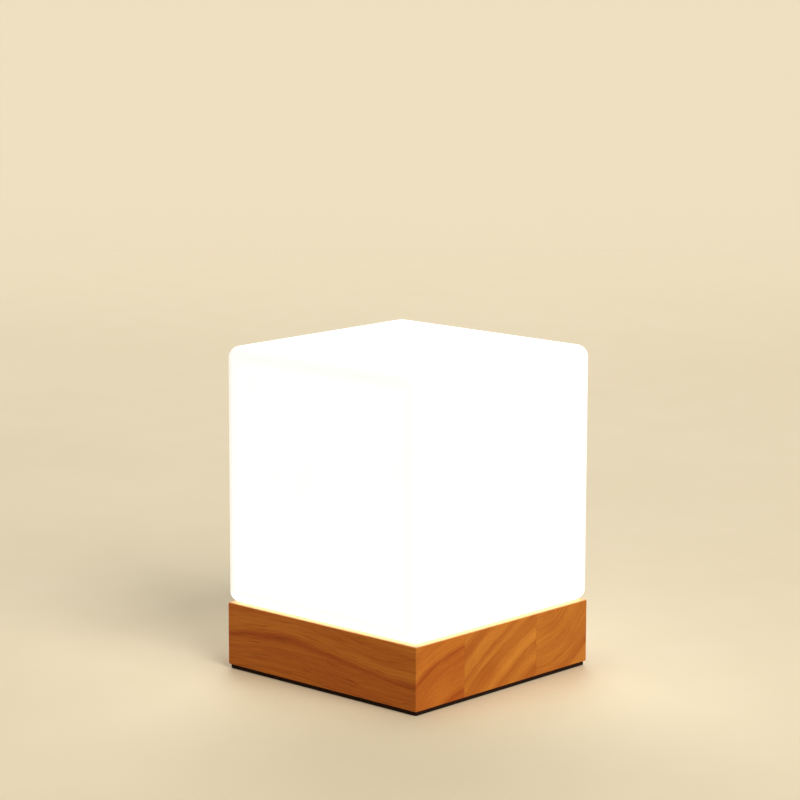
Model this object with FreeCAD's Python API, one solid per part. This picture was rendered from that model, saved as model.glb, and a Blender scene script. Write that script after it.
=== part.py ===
import FreeCAD, Part
import math
import os

# Bedside lamp: an opal glass cube that stands on a square wooden base, with a screw-in bulb inside.
# Millimetres. The origin is the middle of the underside, +Z is up, the front is -Y, the cord enters at +Y.

Vector = FreeCAD.Vector
CENTRE = Vector(0, 0, 0)
X_AXIS = Vector(1, 0, 0)
Y_AXIS = Vector(0, 1, 0)
Z_AXIS = Vector(0, 0, 1)
FULL_TURN = 360.0

# Shared clearances and shares
CUT_OVERRUN = 1.0        # how far a cutting body runs past the faces that it cuts
SCREW_FIT = 0.05         # between a screw and its hole
SEAT_FIT = 0.1           # between pieces that are pushed together
MOVE_GAP = 0.3           # between pieces that move past each other
HEAD_DOME_SHARES = (0.7, 0.72)     # a point on the dome of a screw head, of its radius and height
SLOT_WIDTH_SHARE = 0.24            # slot in a screw head, of the head radius
SLOT_LENGTH_SHARE = 0.62
SLOT_DEPTH_SHARE = 0.45            # of the head height
POINT_SHARE = 0.3                  # pointed end of a wood screw, of its length
BEND_SHARE = 0.45                  # of the shorter run beside a bend, taken up by the bend

# Wooden base
BASE_SIDE = 150.0
BASE_HEIGHT = 37.5
BASE_EDGE_R = 0.7
BASE_WALL = 16.0         # wood between the wiring pocket and the outside
BASE_ROOF = 12.5         # wood above the wiring pocket
POCKET_CORNER_R = 12.0

# Anti-slip pad
PAD_THICKNESS = 2.5
PAD_INSET = 1.0
PAD_CORNER_R = 1.0
PAD_ACCESS_R = 4.2       # holes that reach the cover screws

# Cover of the wiring pocket
COVER_THICKNESS = 2.0
COVER_LEDGE = 6.0        # how far the cover rests on the wood round the pocket
COVER_CORNER_R = 8.0
COVER_GAP = 0.4
COVER_SCREW_INSET = 6.0
COVER_SCREW_HEAD_R = 3.0
COVER_SCREW_HEAD_H = 1.7
COVER_SCREW_R = 1.5
COVER_SCREW_LENGTH = 13.0

# Glass shade
SHADE_SIDE = 152.0
SHADE_HEIGHT = 152.5
SHADE_EDGE_R = 7.0
SHADE_WALL = 4.0
SHADE_INNER_EDGE_R = 5.0
SHADE_MOUTH_R = 48.0
SHADE_LIP_R = 1.2

# Gasket under the shade
GASKET_WIDTH = 4.0
GASKET_THICKNESS = 1.3
GASKET_PROUD = 0.3
GASKET_OUT = 7.0         # from the mouth of the shade to the inside of the gasket

# Seat plate and spring clips
PLATE_GAP = 3.0          # between the edge of the plate and the mouth of the shade
PLATE_THICKNESS = 1.0
CLIP_COUNT = 3
CLIP_START_DEG = 90.0
CLIP_WIDTH = 10.0
CLIP_SHEET = 0.5
CLIP_FOOT = 12.0
CLIP_HEIGHT = 12.0
CLIP_KNEE_HEIGHT = 2.6   # from the plate to the widest place of the clip
CLIP_LEAN = 3.2          # how far the top of the clip leans inward from its knee
CLIP_SCREW_SETBACK = 9.0 # from the knee to the screw
PLATE_SCREW_HEAD_R = 3.2
PLATE_SCREW_HEAD_H = 2.0
PLATE_SCREW_R = 1.6
PLATE_SCREW_LENGTH = 11.0

# Threaded nipple and what tightens it
NIPPLE_R = 5.0
NIPPLE_BORE_R = 3.5
NIPPLE_TAIL = 2.0        # thread that shows below the nut
NIPPLE_CHAMFER = 0.6
FLAT_WASHER_R = 11.0
FLAT_WASHER_T = 1.5
LOCK_WASHER_R = 9.0
LOCK_WASHER_T = 0.9
LOCK_TEETH = 12
LOCK_TOOTH_DEPTH = 2.0
LOCK_NOTCH_WIDTH = 1.6
NUT_FLAT_R = 7.0         # half the width across the flats
NUT_HEIGHT = 3.5
NUT_CHAMFER = 0.6

# Lampholder
HOLDER_DOME_R = 14.0
HOLDER_DOME_HEIGHT = 22.0
HOLDER_DOME_EDGE_R = 3.5
HOLDER_FLOOR = 8.0       # thread depth for the nipple
HOLDER_WALL = 1.8
HOLDER_STEP = 2.2        # inner ledge that carries the core
HOLDER_SPIGOT = 5.0      # length of the sleeve inside the dome
HOLDER_SLEEVE_R = 13.4
HOLDER_SLEEVE_HEIGHT = 23.0
HOLDER_RIM_R = 0.8
HOLDER_RIB_COUNT = 4
HOLDER_RIB_GAP = 3.4
HOLDER_RIB_DEPTH = 0.5
HOLDER_RIB_WIDTH = 1.7
HOLDER_RING_R = 9.0      # bore of the ring that holds the core down
HOLDER_RING_T = 1.5
CORE_THICKNESS = 6.0
SHELL_R = 7.9
SHELL_HEIGHT = 17.0
CONTACT_SHEET = 0.6
CONTACT_WIDTH = 5.0
CONTACT_LEG = 7.0        # how far the legs reach below the core
CENTRE_LEG_X = 4.4
SIDE_LEG_X = 7.2
TONGUE_RISE = 2.2        # from the core to the top of the centre contact
TONGUE_NOSE = 2.0
TERMINAL_DROP = 2.6      # from the core to the terminal screws
TERMINAL_HEAD_R = 2.1
TERMINAL_HEAD_H = 1.5
TERMINAL_SHANK_R = 1.2
TERMINAL_GRIP = 1.2      # length of the shank
LOCK_SCREW_R = 1.5
LOCK_SCREW_SUNK = 0.8    # from the outside of the dome to the end of the lock screw

# Screw thread between bulb and lampholder
THREAD_PITCH = 2.822
THREAD_MEAN_R = 6.545
THREAD_DEPTH = 0.4       # from the mean radius to the crest
THREAD_CLEARANCE = 0.25
THREAD_SECTIONS = 8      # sections in one turn

# Bulb
TIP_GAP = 0.15           # between the centre contact and the tip
TIP_R = 2.3
TIP_HEIGHT = 0.9
TIP_STEM_R = 1.0
TIP_STEM_LENGTH = 2.4
INSULATOR_LOW_R = 2.9
INSULATOR_HIGH_R = 5.8
INSULATOR_HEIGHT = 3.8
CAP_HEIGHT = 15.3        # threaded part
CAP_BORE_R = 5.4
CAP_FLARE_LOW_R = 7.0
CAP_FLARE_HIGH_R = 7.9
CAP_FLARE_HEIGHT = 4.0
CAP_IN_HOUSING = 2.0     # how far the cap reaches into the housing
BULB_NECK_R = 8.9
BULB_JOIN_R = 20.0
BULB_R = 22.5
BULB_HOUSING_HEIGHT = 22.5
BULB_WALL = 1.2
BULB_LEDGE = 2.0         # rim of the housing outside the LED board
BULB_BOARD_LEDGE = 1.0   # how far the LED board rests on the housing
LED_BOARD_T = 1.2
LED_COUNT = 9
LED_RING_R = 11.5
LED_LENGTH = 3.5
LED_WIDTH = 2.8
LED_HEIGHT = 0.8
DRIVER_BOARD_T = 1.6
DRIVER_BOARD_WIDTH = 11.0
DRIVER_BOARD_HEIGHT = 18.3
DRIVER_CAN_R = 3.0
DRIVER_CAN_HEIGHT = 9.0
DRIVER_COIL_R = 3.2
DRIVER_COIL_HEIGHT = 5.5
DRIVER_CHIP_HEIGHT = 4.8
DRIVER_CHIP_WIDTH = 4.0
DRIVER_CHIP_T = 1.8
DRIVER_PART_DROP = 3.0   # from the LED board to the can and the coil
DRIVER_CHIP_RISE = 1.5   # from the foot of the driver board to the chip

# Cord grommet in the rear wall
GROMMET_BORE_R = 3.5
GROMMET_R = 4.8
GROMMET_FLANGE_R = 7.5
GROMMET_FLANGE_T = 2.0
GROMMET_RIDGE_R = 5.6
GROMMET_RIDGE_T = 1.8
GROMMET_LIP_R = 0.7

# Terminal block under the roof of the pocket
BLOCK_CLEAR = 9.0        # from the flat washer to the block
BLOCK_LENGTH = 17.0
BLOCK_PITCH = 11.0       # between the two poles
BLOCK_WIDTH = 20.0
BLOCK_SLAB = 4.0
BLOCK_POLE_DROP = 5.4    # from the roof to the pole
BLOCK_BARREL_R = 4.2
BLOCK_TOWER_R = 3.2
BLOCK_TOWER_DROP = 12.5  # from the roof to the end of the screw towers
BLOCK_WELL_R = 2.1
BLOCK_SCREW_SPACING = 8.0
SLEEVE_R = 2.5
SLEEVE_BORE_R = 1.6
SLEEVE_INSET = 1.0
CLAMP_HEAD_R = 2.0
CLAMP_HEAD_H = 2.2
CLAMP_SHANK_R = 1.3
BLOCK_SCREW_HEAD_R = 2.0
BLOCK_SCREW_HEAD_H = 1.4
BLOCK_SCREW_R = 1.0
BLOCK_SCREW_LENGTH = 11.0

# Leads
LEAD_R = 1.0
WIRE_R = 0.5
LEAD_OUT = 1.4           # from the middle of the nipple to a lead
LEAD_RUN = 9.0           # straight run out of a terminal
LEAD_GRIP = 3.0          # how far a lead reaches into a terminal
LEAD_ABOVE = 1.3         # how far a lead reaches out of the top of the nipple
LEAD_TURN_OUT = 4.4      # bend below the nipple
LEAD_TURN_DROP = 6.4
LEAD_RISE_DROP = 1.5
LEAD_AROUND_X = 6.0      # bend of the live lead in front of the block
LEAD_AROUND_Y = 3.4
LEAD_APPROACH = 6.0      # from the bend below the nipple to the one before it
LEAD_APPROACH_DROP = 0.8
LEAD_DIVE_X = 1.6        # bend of the neutral lead on its way below the nipple
LEAD_DIVE_Y = 5.5
LEAD_DIVE_DROP = 4.8
LEAD_BOW_SHARES = (0.44, 0.86, 0.5)      # of the way between two ends, in x, y and z
SWITCHED_BOW_SHARES = (0.36, 0.66, 0.6)
WIRE_OUT_Y = 1.9
WIRE_BEND_RISE = 1.6
WIRE_END_RISE = 4.6
WIRE_IN_BLOCK = 5.0

# Rocker switch in the rear wall
SWITCH_FROM_CORNER = 9.0 # from the rounded corner of the pocket to the middle of the switch
SWITCH_BEZEL_LENGTH = 21.0
SWITCH_BEZEL_WIDTH = 15.0
SWITCH_BEZEL_T = 2.0
SWITCH_BEZEL_R = 0.7
SWITCH_BODY_LENGTH = 19.0
SWITCH_BODY_WIDTH = 12.6
SWITCH_BODY_DEPTH = 13.5
SWITCH_WALL = 1.2
SWITCH_FIT = 0.1         # between the switch and its hole in the wood
PIVOT_OUT = 0.3          # from the face of the wood to the pivot
ROCKER_TILT_DEG = 9.0
ROCKER_RISE = 1.4        # from the pivot to the middle of the rocker face
ROCKER_DROP = 2.6
ROCKER_EDGE_R = 0.4
TRUNNION_R = 1.2
TRUNNION_LENGTH = 0.9
TRUNNION_FIT = 0.08
BOSS_R = 2.6
BOSS_DROP = 5.2          # from the pivot to the end of the boss
BOSS_BORE_R = 1.65
BOSS_BORE_TOP = 1.0      # from the pivot to the end of the bore
PLUNGER_TOP = 3.4        # from the pivot to the top of the plunger
PLUNGER_REACH = 7.4      # from the pivot to the nose of the plunger
SPRING_R = 1.25
SPRING_WIRE_R = 0.17
SPRING_TURNS = 4
BRIDGE_TILT_DEG = 12.0
BRIDGE_SHEET = 0.6
BRIDGE_LENGTH = 13.6
BRIDGE_WIDTH = 5.0
BRIDGE_GAP = 0.12        # between the see-saw contact and the terminals
LOAD_X = 5.5             # from the middle terminal to the other one
TAB_WIDTH = 4.8
TAB_SHEET = 0.8
TAB_LENGTH = 8.0
CONNECTOR_WALL = 0.7
CONNECTOR_LENGTH = 7.5
BARREL_R = 1.7
BARREL_LENGTH = 5.0

# Heights and places that follow from the sizes
Z_WOOD = PAD_THICKNESS
Z_TOP = Z_WOOD + BASE_HEIGHT
Z_ROOF = Z_TOP - BASE_ROOF
Z_COVER = Z_WOOD + COVER_THICKNESS
Z_SHADE = Z_TOP + GASKET_PROUD
Z_SHADE_TOP = Z_SHADE + SHADE_HEIGHT
Z_PLATE = Z_TOP + PLATE_THICKNESS
Z_NIPPLE_LOW = Z_ROOF - FLAT_WASHER_T - LOCK_WASHER_T - NUT_HEIGHT - NIPPLE_TAIL
Z_NIPPLE_HIGH = Z_PLATE + HOLDER_FLOOR
Z_DOME_TOP = Z_PLATE + HOLDER_DOME_HEIGHT
Z_CORE = Z_DOME_TOP - HOLDER_SPIGOT
Z_CORE_TOP = Z_CORE + CORE_THICKNESS
Z_SHELL_TOP = Z_CORE_TOP + SHELL_HEIGHT
Z_SLEEVE_TOP = Z_DOME_TOP + HOLDER_SLEEVE_HEIGHT
Z_TIP = Z_CORE_TOP + TONGUE_RISE + TIP_GAP
Z_INSULATOR = Z_TIP + TIP_HEIGHT
Z_CAP = Z_INSULATOR + INSULATOR_HEIGHT
Z_FLARE = Z_CAP + CAP_HEIGHT
Z_FLARE_TOP = Z_FLARE + CAP_FLARE_HEIGHT
Z_HOUSING = Z_FLARE_TOP - CAP_IN_HOUSING
Z_JOIN = Z_HOUSING + BULB_HOUSING_HEIGHT
Z_LED_BOARD = Z_JOIN - LED_BOARD_T
Z_GLOBE = Z_JOIN + math.sqrt(BULB_R ** 2 - BULB_JOIN_R ** 2)
POCKET_HALF = BASE_SIDE / 2 - BASE_WALL
COVER_HALF = POCKET_HALF + COVER_LEDGE
COVER_SCREW_AT = COVER_HALF - COVER_SCREW_INSET
Y_REAR = BASE_SIDE / 2
Y_WALL = Y_REAR - BASE_WALL
Z_REAR = (Z_COVER + Z_ROOF) / 2
BLOCK_FRONT = FLAT_WASHER_R + BLOCK_CLEAR
BLOCK_BACK = BLOCK_FRONT + BLOCK_LENGTH
BLOCK_MIDDLE = BLOCK_FRONT + BLOCK_LENGTH / 2
Z_POLE = Z_ROOF - BLOCK_POLE_DROP
LED_BOARD_R = BULB_JOIN_R - BULB_LEDGE - SEAT_FIT
CLIP_KNEE_R = math.sqrt((SHADE_MOUTH_R - MOVE_GAP) ** 2 - (CLIP_WIDTH / 2) ** 2) - CLIP_SHEET / 2
CLIP_SCREW_AT = CLIP_KNEE_R - CLIP_SCREW_SETBACK
PLATE_R = SHADE_MOUTH_R - PLATE_GAP
BRIDGE_DROP = PLUNGER_REACH + MOVE_GAP + BRIDGE_SHEET
ROCKER_R = SWITCH_BODY_LENGTH / 2 - SWITCH_WALL - MOVE_GAP
ROCKER_HALF_WIDTH = SWITCH_BODY_WIDTH / 2 - SWITCH_WALL - MOVE_GAP
SWITCH_X = POCKET_HALF - POCKET_CORNER_R - SWITCH_FROM_CORNER
SWITCH_BACK = PIVOT_OUT + SWITCH_BODY_DEPTH
TAB_END = SWITCH_BACK + TAB_LENGTH
CONNECTOR_END = TAB_END + CONNECTOR_WALL + BARREL_LENGTH


def box(low, high):
    """Block between two opposite corners."""
    span = high.sub(low)
    return Part.makeBox(span.x, span.y, span.z, low)


def slab(half, low_z, high_z, corner_r):
    """Square block round the Z axis with rounded upright edges."""
    block = box(Vector(-half, -half, low_z), Vector(half, half, high_z))
    upright = [edge for edge in block.Edges if edge.BoundBox.ZLength > edge.BoundBox.DiagonalLength / 2]
    return block.makeFillet(corner_r, upright)


def rod(radius, start, end):
    """Cylinder from one point to another."""
    run = end.sub(start)
    return Part.makeCylinder(radius, run.Length, start, run)


def post(radius, x, y, low_z, high_z):
    """Upright cylinder."""
    return rod(radius, Vector(x, y, low_z), Vector(x, y, high_z))


def ring(outer_r, inner_r, low_z, high_z):
    """Flat ring round the Z axis."""
    return post(outer_r, 0, 0, low_z, high_z).cut(
        post(inner_r, 0, 0, low_z - CUT_OVERRUN, high_z + CUT_OVERRUN))


def on_plane(point):
    """Point (x, z) as a vector in the XZ plane."""
    return Vector(point[0], 0, point[1])


def outline(start, *steps):
    """Closed face in the XZ plane. A step is a point, or two points for an arc through one to the other."""
    edges = []
    here = start
    for step in steps:
        if isinstance(step[0], tuple):
            through, here_next = step
            edges.append(Part.Arc(on_plane(here), on_plane(through), on_plane(here_next)).toShape())
        else:
            here_next = step
            edges.append(Part.LineSegment(on_plane(here), on_plane(here_next)).toShape())
        here = here_next
    edges.append(Part.LineSegment(on_plane(here), on_plane(start)).toShape())
    return Part.Face(Part.Wire(edges))


def turned(start, *steps):
    """Outline turned about the Z axis."""
    return outline(start, *steps).revolve(CENTRE, Z_AXIS, FULL_TURN)


def centred_prism(face, width):
    """Outline in the XZ plane given a width, half on each side of it."""
    solid = face.extrude(Vector(0, width, 0))
    solid.translate(Vector(0, -width / 2, 0))
    return solid


def strip(points, sheet, width):
    """Bent leaf along (x, z) points, with mitred bends."""
    normals = []
    for before, after in zip(points, points[1:]):
        run = on_plane(after).sub(on_plane(before)).normalize()
        normals.append(run.cross(Y_AXIS))
    upper = []
    lower = []
    for index, point in enumerate(points):
        first = normals[max(index - 1, 0)]
        second = normals[min(index, len(normals) - 1)]
        mitre = first.add(second).multiply(sheet / 2 / (1 + first.dot(second)))
        upper.append((point[0] + mitre.x, point[1] + mitre.z))
        lower.append((point[0] - mitre.x, point[1] - mitre.z))
    path = upper + lower[::-1]
    return centred_prism(outline(path[0], *path[1:]), width)


def moved(shape, x, y, z):
    """Copy of a shape at another place."""
    copy = shape.copy()
    copy.translate(Vector(x, y, z))
    return copy


def spun(shape, axis, degrees):
    """Copy of a shape turned about an axis through the origin."""
    copy = shape.copy()
    copy.rotate(CENTRE, axis, degrees)
    return copy


def around(shape, count, start_deg):
    """Copies of a shape at even steps round the Z axis."""
    return [spun(shape, Z_AXIS, start_deg + FULL_TURN * index / count) for index in range(count)]


def cut_all(shape, tools):
    """Shape with every tool cut from it."""
    for tool in tools:
        shape = shape.cut(tool)
    return shape


def fuse_all(shapes):
    """Shapes joined into one."""
    return shapes[0].multiFuse(shapes[1:]).removeSplitter()


def group(shapes):
    """Separate solids under one name."""
    return Part.Compound([solid for shape in shapes for solid in shape.Solids])


def cross_slot(head_r, top_z, depth):
    """Cutting body for a crossed recess that opens upward at a height."""
    half = SLOT_WIDTH_SHARE * head_r / 2
    reach = SLOT_LENGTH_SHARE * head_r
    low = top_z - depth
    high = top_z + CUT_OVERRUN
    along = box(Vector(-reach, -half, low), Vector(reach, half, high))
    return along.fuse(spun(along, Z_AXIS, FULL_TURN / 4))


def pan_screw(head_r, head_h, shank_r, length):
    """Wood screw that points down, its head seated on z = 0."""
    dome = (head_r * HEAD_DOME_SHARES[0], head_h * HEAD_DOME_SHARES[1])
    body = turned((0, head_h), (dome, (head_r, 0)), (shank_r, 0),
                  (shank_r, -length * (1 - POINT_SHARE)), (0, -length))
    return body.cut(cross_slot(head_r, head_h, head_h * SLOT_DEPTH_SHARE))


def flat_screw(head_r, head_h, shank_r, length):
    """Countersunk screw that points down, the flat of its head on z = 0."""
    body = turned((0, 0), (head_r, 0), (shank_r, -head_h),
                  (shank_r, -length * (1 - POINT_SHARE)), (0, -length))
    return body.cut(cross_slot(head_r, 0, head_h * SLOT_DEPTH_SHARE))


def slotted_screw(head_r, head_h, shank_r, length):
    """Cheese-head machine screw that points down, its head seated on z = 0."""
    body = turned((0, head_h), (head_r, head_h), (head_r, 0), (shank_r, 0), (shank_r, -length), (0, -length))
    half = SLOT_WIDTH_SHARE * head_r / 2
    low = Vector(-head_r - CUT_OVERRUN, -half, head_h * (1 - SLOT_DEPTH_SHARE))
    return body.cut(box(low, Vector(head_r + CUT_OVERRUN, half, head_h + CUT_OVERRUN)))


def thread_body(mean_r, low_z, high_z):
    """Round-threaded body: circles whose middle winds once round the Z axis in each pitch."""
    count = math.ceil((high_z - low_z) / THREAD_PITCH * THREAD_SECTIONS)
    sections = []
    for index in range(count + 1):
        height = low_z + (high_z - low_z) * index / count
        turn = 2 * math.pi * (height - Z_CORE_TOP) / THREAD_PITCH
        middle = Vector(THREAD_DEPTH * math.cos(turn), THREAD_DEPTH * math.sin(turn), height)
        sections.append(Part.Wire(Part.Circle(middle, Z_AXIS, mean_r).toShape()))
    return Part.makeLoft(sections, True)


def tube(points, radius):
    """Round wire along straight runs that are joined by tangent arcs."""
    edges = []
    here = points[0]
    for before, corner, after in zip(points, points[1:], points[2:]):
        inward = corner.sub(before)
        outward = after.sub(corner)
        half_turn = inward.getAngle(outward) / 2
        room = BEND_SHARE * min(inward.Length, outward.Length)
        inward.normalize()
        outward.normalize()
        start = corner.sub(inward * room)
        end = corner.add(outward * room)
        middle_way = outward.sub(inward).normalize()
        bend = room / math.tan(half_turn)
        middle = corner.add(middle_way * (room / math.sin(half_turn) - bend))
        edges.append(Part.LineSegment(here, start).toShape())
        edges.append(Part.Arc(start, middle, end).toShape())
        here = end
    edges.append(Part.LineSegment(here, points[-1]).toShape())
    path = Part.Wire(edges)
    section = Part.Wire(Part.Circle(points[0], points[1].sub(points[0]), radius).toShape())
    solid = path.makePipeShell([section], True, False)
    print("tube volume over section times length:", solid.Volume / (math.pi * radius ** 2 * path.Length))
    return solid


def half_arc(start, tangent, end):
    """Arc from a point along its tangent to another point."""
    chord = end.sub(start)
    lean = tangent.getAngle(chord)
    side = tangent.sub(chord * (tangent.dot(chord) / chord.Length ** 2)).normalize()
    middle = start.add(chord * (1 / 2)).add(side * (chord.Length / 2 * math.tan(lean / 2)))
    return Part.Arc(start, middle, end).toShape()


def biarc(start, start_way, end, end_way):
    """Two tangent arcs between two points with given directions."""
    span = end.sub(start)
    ways = start_way.add(end_way)
    spread = 2 * (1 - start_way.dot(end_way))
    lean = span.dot(ways)
    reach = (-lean + math.sqrt(lean ** 2 + spread * span.dot(span))) / spread
    meet = start.add(start_way * reach).add(end).sub(end_way * reach) * (1 / 2)
    middle_way = end.sub(end_way * reach).sub(start.add(start_way * reach)).normalize()
    return [half_arc(start, start_way, meet), half_arc(meet, middle_way, end)]


def coil(mean_r, wire_r, height, turns):
    """Compression spring that stands on z = 0, wound as arcs of half a turn."""
    steps = 2 * turns
    rise = (height - 2 * wire_r) / steps
    slope = rise / math.pi
    places = []
    ways = []
    for index in range(steps + 1):
        side = (-1) ** index
        places.append(Vector(mean_r * side, 0, wire_r + rise * index))
        ways.append(Vector(0, mean_r * side, slope).normalize())
    edges = []
    for index in range(steps):
        edges += biarc(places[index], ways[index], places[index + 1], ways[index + 1])
    section = Part.Wire(Part.Circle(places[0], ways[0], wire_r).toShape())
    return Part.Wire(edges).makePipeShell([section], True, False)


def at_rear(shape, x, out):
    """Piece made with +Z as its way out of the rear face, laid to face +Y at a place on that face."""
    return moved(spun(shape, X_AXIS, -FULL_TURN / 4), x, Y_REAR + out, Z_REAR)


def corners(at):
    """The four places at the same distance from both middle lines."""
    return [(side_x * at, side_y * at) for side_x in (-1, 1) for side_y in (-1, 1)]


def gasket_bounds():
    """Inner and outer radius of the gasket."""
    inner = SHADE_MOUTH_R + GASKET_OUT
    return inner, inner + GASKET_WIDTH


def make_wood_base():
    """Square block with the wiring pocket, its cover rebate and every hole."""
    half = BASE_SIDE / 2
    block = box(Vector(-half, -half, Z_WOOD), Vector(half, half, Z_TOP))
    block = block.makeFillet(BASE_EDGE_R, block.Edges)
    below = Z_WOOD - CUT_OVERRUN
    pocket = slab(POCKET_HALF, below, Z_ROOF, POCKET_CORNER_R)
    rebate = slab(COVER_HALF + COVER_GAP, below, Z_COVER, COVER_CORNER_R)
    inner, outer = gasket_bounds()
    groove_low = Z_TOP - (GASKET_THICKNESS - GASKET_PROUD)
    groove = ring(outer + SEAT_FIT, inner - SEAT_FIT, groove_low, Z_TOP + CUT_OVERRUN)
    shaft = post(NIPPLE_R + SEAT_FIT, 0, 0, Z_ROOF - CUT_OVERRUN, Z_TOP + CUT_OVERRUN)
    cord_hole = rod(GROMMET_R + SEAT_FIT, Vector(0, Y_WALL - CUT_OVERRUN, Z_REAR),
                    Vector(0, Y_REAR + CUT_OVERRUN, Z_REAR))
    block = cut_all(block, [pocket, rebate, groove, shaft, cord_hole, switch_hole()])
    return cut_all(block, plate_pilots() + cover_pilots() + [block_pilot()])


def switch_hole():
    """Cutting body for the switch, right through the rear wall."""
    half_x = SWITCH_BODY_LENGTH / 2 + SWITCH_FIT
    half_z = SWITCH_BODY_WIDTH / 2 + SWITCH_FIT
    return box(Vector(SWITCH_X - half_x, Y_WALL - CUT_OVERRUN, Z_REAR - half_z),
               Vector(SWITCH_X + half_x, Y_REAR + CUT_OVERRUN, Z_REAR + half_z))


def plate_pilots():
    """Holes in the wood for the screws of the seat plate."""
    depth = PLATE_SCREW_LENGTH - PLATE_THICKNESS - CLIP_SHEET + SEAT_FIT
    hole = post(PLATE_SCREW_R + SCREW_FIT, CLIP_SCREW_AT, 0, Z_TOP - depth, Z_TOP + CUT_OVERRUN)
    return around(hole, CLIP_COUNT, CLIP_START_DEG)


def cover_pilots():
    """Holes in the wood for the cover screws."""
    high = Z_WOOD + COVER_SCREW_LENGTH + SEAT_FIT
    return [post(COVER_SCREW_R + SCREW_FIT, x, y, Z_WOOD, high) for x, y in corners(COVER_SCREW_AT)]


def block_pilot():
    """Hole in the roof of the pocket for the screw of the terminal block."""
    depth = BLOCK_SCREW_LENGTH - BLOCK_SLAB + SEAT_FIT
    return post(BLOCK_SCREW_R + SCREW_FIT, 0, BLOCK_MIDDLE, Z_ROOF - CUT_OVERRUN, Z_ROOF + depth)


def make_pad():
    """Anti-slip pad with holes that reach the cover screws."""
    pad = slab(BASE_SIDE / 2 - PAD_INSET, 0, Z_WOOD, PAD_CORNER_R)
    holes = [post(PAD_ACCESS_R, x, y, -CUT_OVERRUN, Z_WOOD + CUT_OVERRUN) for x, y in corners(COVER_SCREW_AT)]
    return cut_all(pad, holes)


def make_cover():
    """Flat cover in the rebate, countersunk for its screws."""
    cover = slab(COVER_HALF, Z_WOOD, Z_COVER, COVER_CORNER_R)
    sink = turned((0, -CUT_OVERRUN), (COVER_SCREW_HEAD_R + SCREW_FIT, -CUT_OVERRUN),
                  (COVER_SCREW_HEAD_R + SCREW_FIT, 0), (COVER_SCREW_R + SCREW_FIT, COVER_SCREW_HEAD_H),
                  (COVER_SCREW_R + SCREW_FIT, COVER_THICKNESS + CUT_OVERRUN),
                  (0, COVER_THICKNESS + CUT_OVERRUN))
    return cut_all(cover, [moved(sink, x, y, Z_WOOD) for x, y in corners(COVER_SCREW_AT)])


def make_cover_screws():
    """Four countersunk screws that point up."""
    screw = flat_screw(COVER_SCREW_HEAD_R, COVER_SCREW_HEAD_H, COVER_SCREW_R, COVER_SCREW_LENGTH)
    upward = spun(screw, X_AXIS, FULL_TURN / 2)
    return group([moved(upward, x, y, Z_WOOD) for x, y in corners(COVER_SCREW_AT)])


def make_shade():
    """Hollow glass cube with rounded edges and a round mouth in its floor."""
    half = SHADE_SIDE / 2
    outside = box(Vector(-half, -half, Z_SHADE), Vector(half, half, Z_SHADE_TOP))
    outside = outside.makeFillet(SHADE_EDGE_R, outside.Edges)
    inner = half - SHADE_WALL
    inside = box(Vector(-inner, -inner, Z_SHADE + SHADE_WALL), Vector(inner, inner, Z_SHADE_TOP - SHADE_WALL))
    inside = inside.makeFillet(SHADE_INNER_EDGE_R, inside.Edges)
    mouth = post(SHADE_MOUTH_R, 0, 0, Z_SHADE - CUT_OVERRUN, Z_SHADE + SHADE_WALL + CUT_OVERRUN)
    glass = outside.cut(inside).cut(mouth)
    span = 2 * SHADE_MOUTH_R
    lip = [edge for edge in glass.Edges if abs(edge.BoundBox.XLength - span) < SEAT_FIT
           and edge.BoundBox.ZLength < SEAT_FIT]
    return glass.makeFillet(min(SHADE_LIP_R, SHADE_WALL / 3), lip)


def make_gasket():
    """Flat ring in a groove, a little proud of the wood."""
    inner, outer = gasket_bounds()
    return ring(outer, inner, Z_SHADE - GASKET_THICKNESS, Z_SHADE)


def make_plate():
    """Flat seat plate under the lampholder."""
    plate = ring(PLATE_R, NIPPLE_R + SEAT_FIT, Z_TOP, Z_PLATE)
    hole = post(PLATE_SCREW_R + SCREW_FIT, CLIP_SCREW_AT, 0, Z_TOP - CUT_OVERRUN, Z_PLATE + CUT_OVERRUN)
    return cut_all(plate, around(hole, CLIP_COUNT, CLIP_START_DEG))


def make_clips():
    """Leaf springs whose knees stand just inside the mouth of the shade."""
    foot_z = Z_PLATE + CLIP_SHEET / 2
    knee_z = Z_PLATE + CLIP_KNEE_HEIGHT
    points = [(CLIP_KNEE_R - CLIP_FOOT, foot_z), (CLIP_KNEE_R - CLIP_KNEE_HEIGHT, foot_z),
              (CLIP_KNEE_R - CLIP_SHEET, (foot_z + knee_z) / 2), (CLIP_KNEE_R, knee_z),
              (CLIP_KNEE_R - CLIP_LEAN / 2, (knee_z + Z_PLATE + CLIP_HEIGHT) / 2),
              (CLIP_KNEE_R - CLIP_LEAN, Z_PLATE + CLIP_HEIGHT)]
    hole = post(PLATE_SCREW_R + SCREW_FIT, CLIP_SCREW_AT, 0, Z_PLATE - CUT_OVERRUN, foot_z + CUT_OVERRUN)
    clip = strip(points, CLIP_SHEET, CLIP_WIDTH).cut(hole)
    return group(around(clip, CLIP_COUNT, CLIP_START_DEG))


def make_plate_screws():
    """Wood screws through the clips and the plate."""
    screw = pan_screw(PLATE_SCREW_HEAD_R, PLATE_SCREW_HEAD_H, PLATE_SCREW_R, PLATE_SCREW_LENGTH)
    screw = moved(screw, CLIP_SCREW_AT, 0, Z_PLATE + CLIP_SHEET)
    return group(around(screw, CLIP_COUNT, CLIP_START_DEG))


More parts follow.
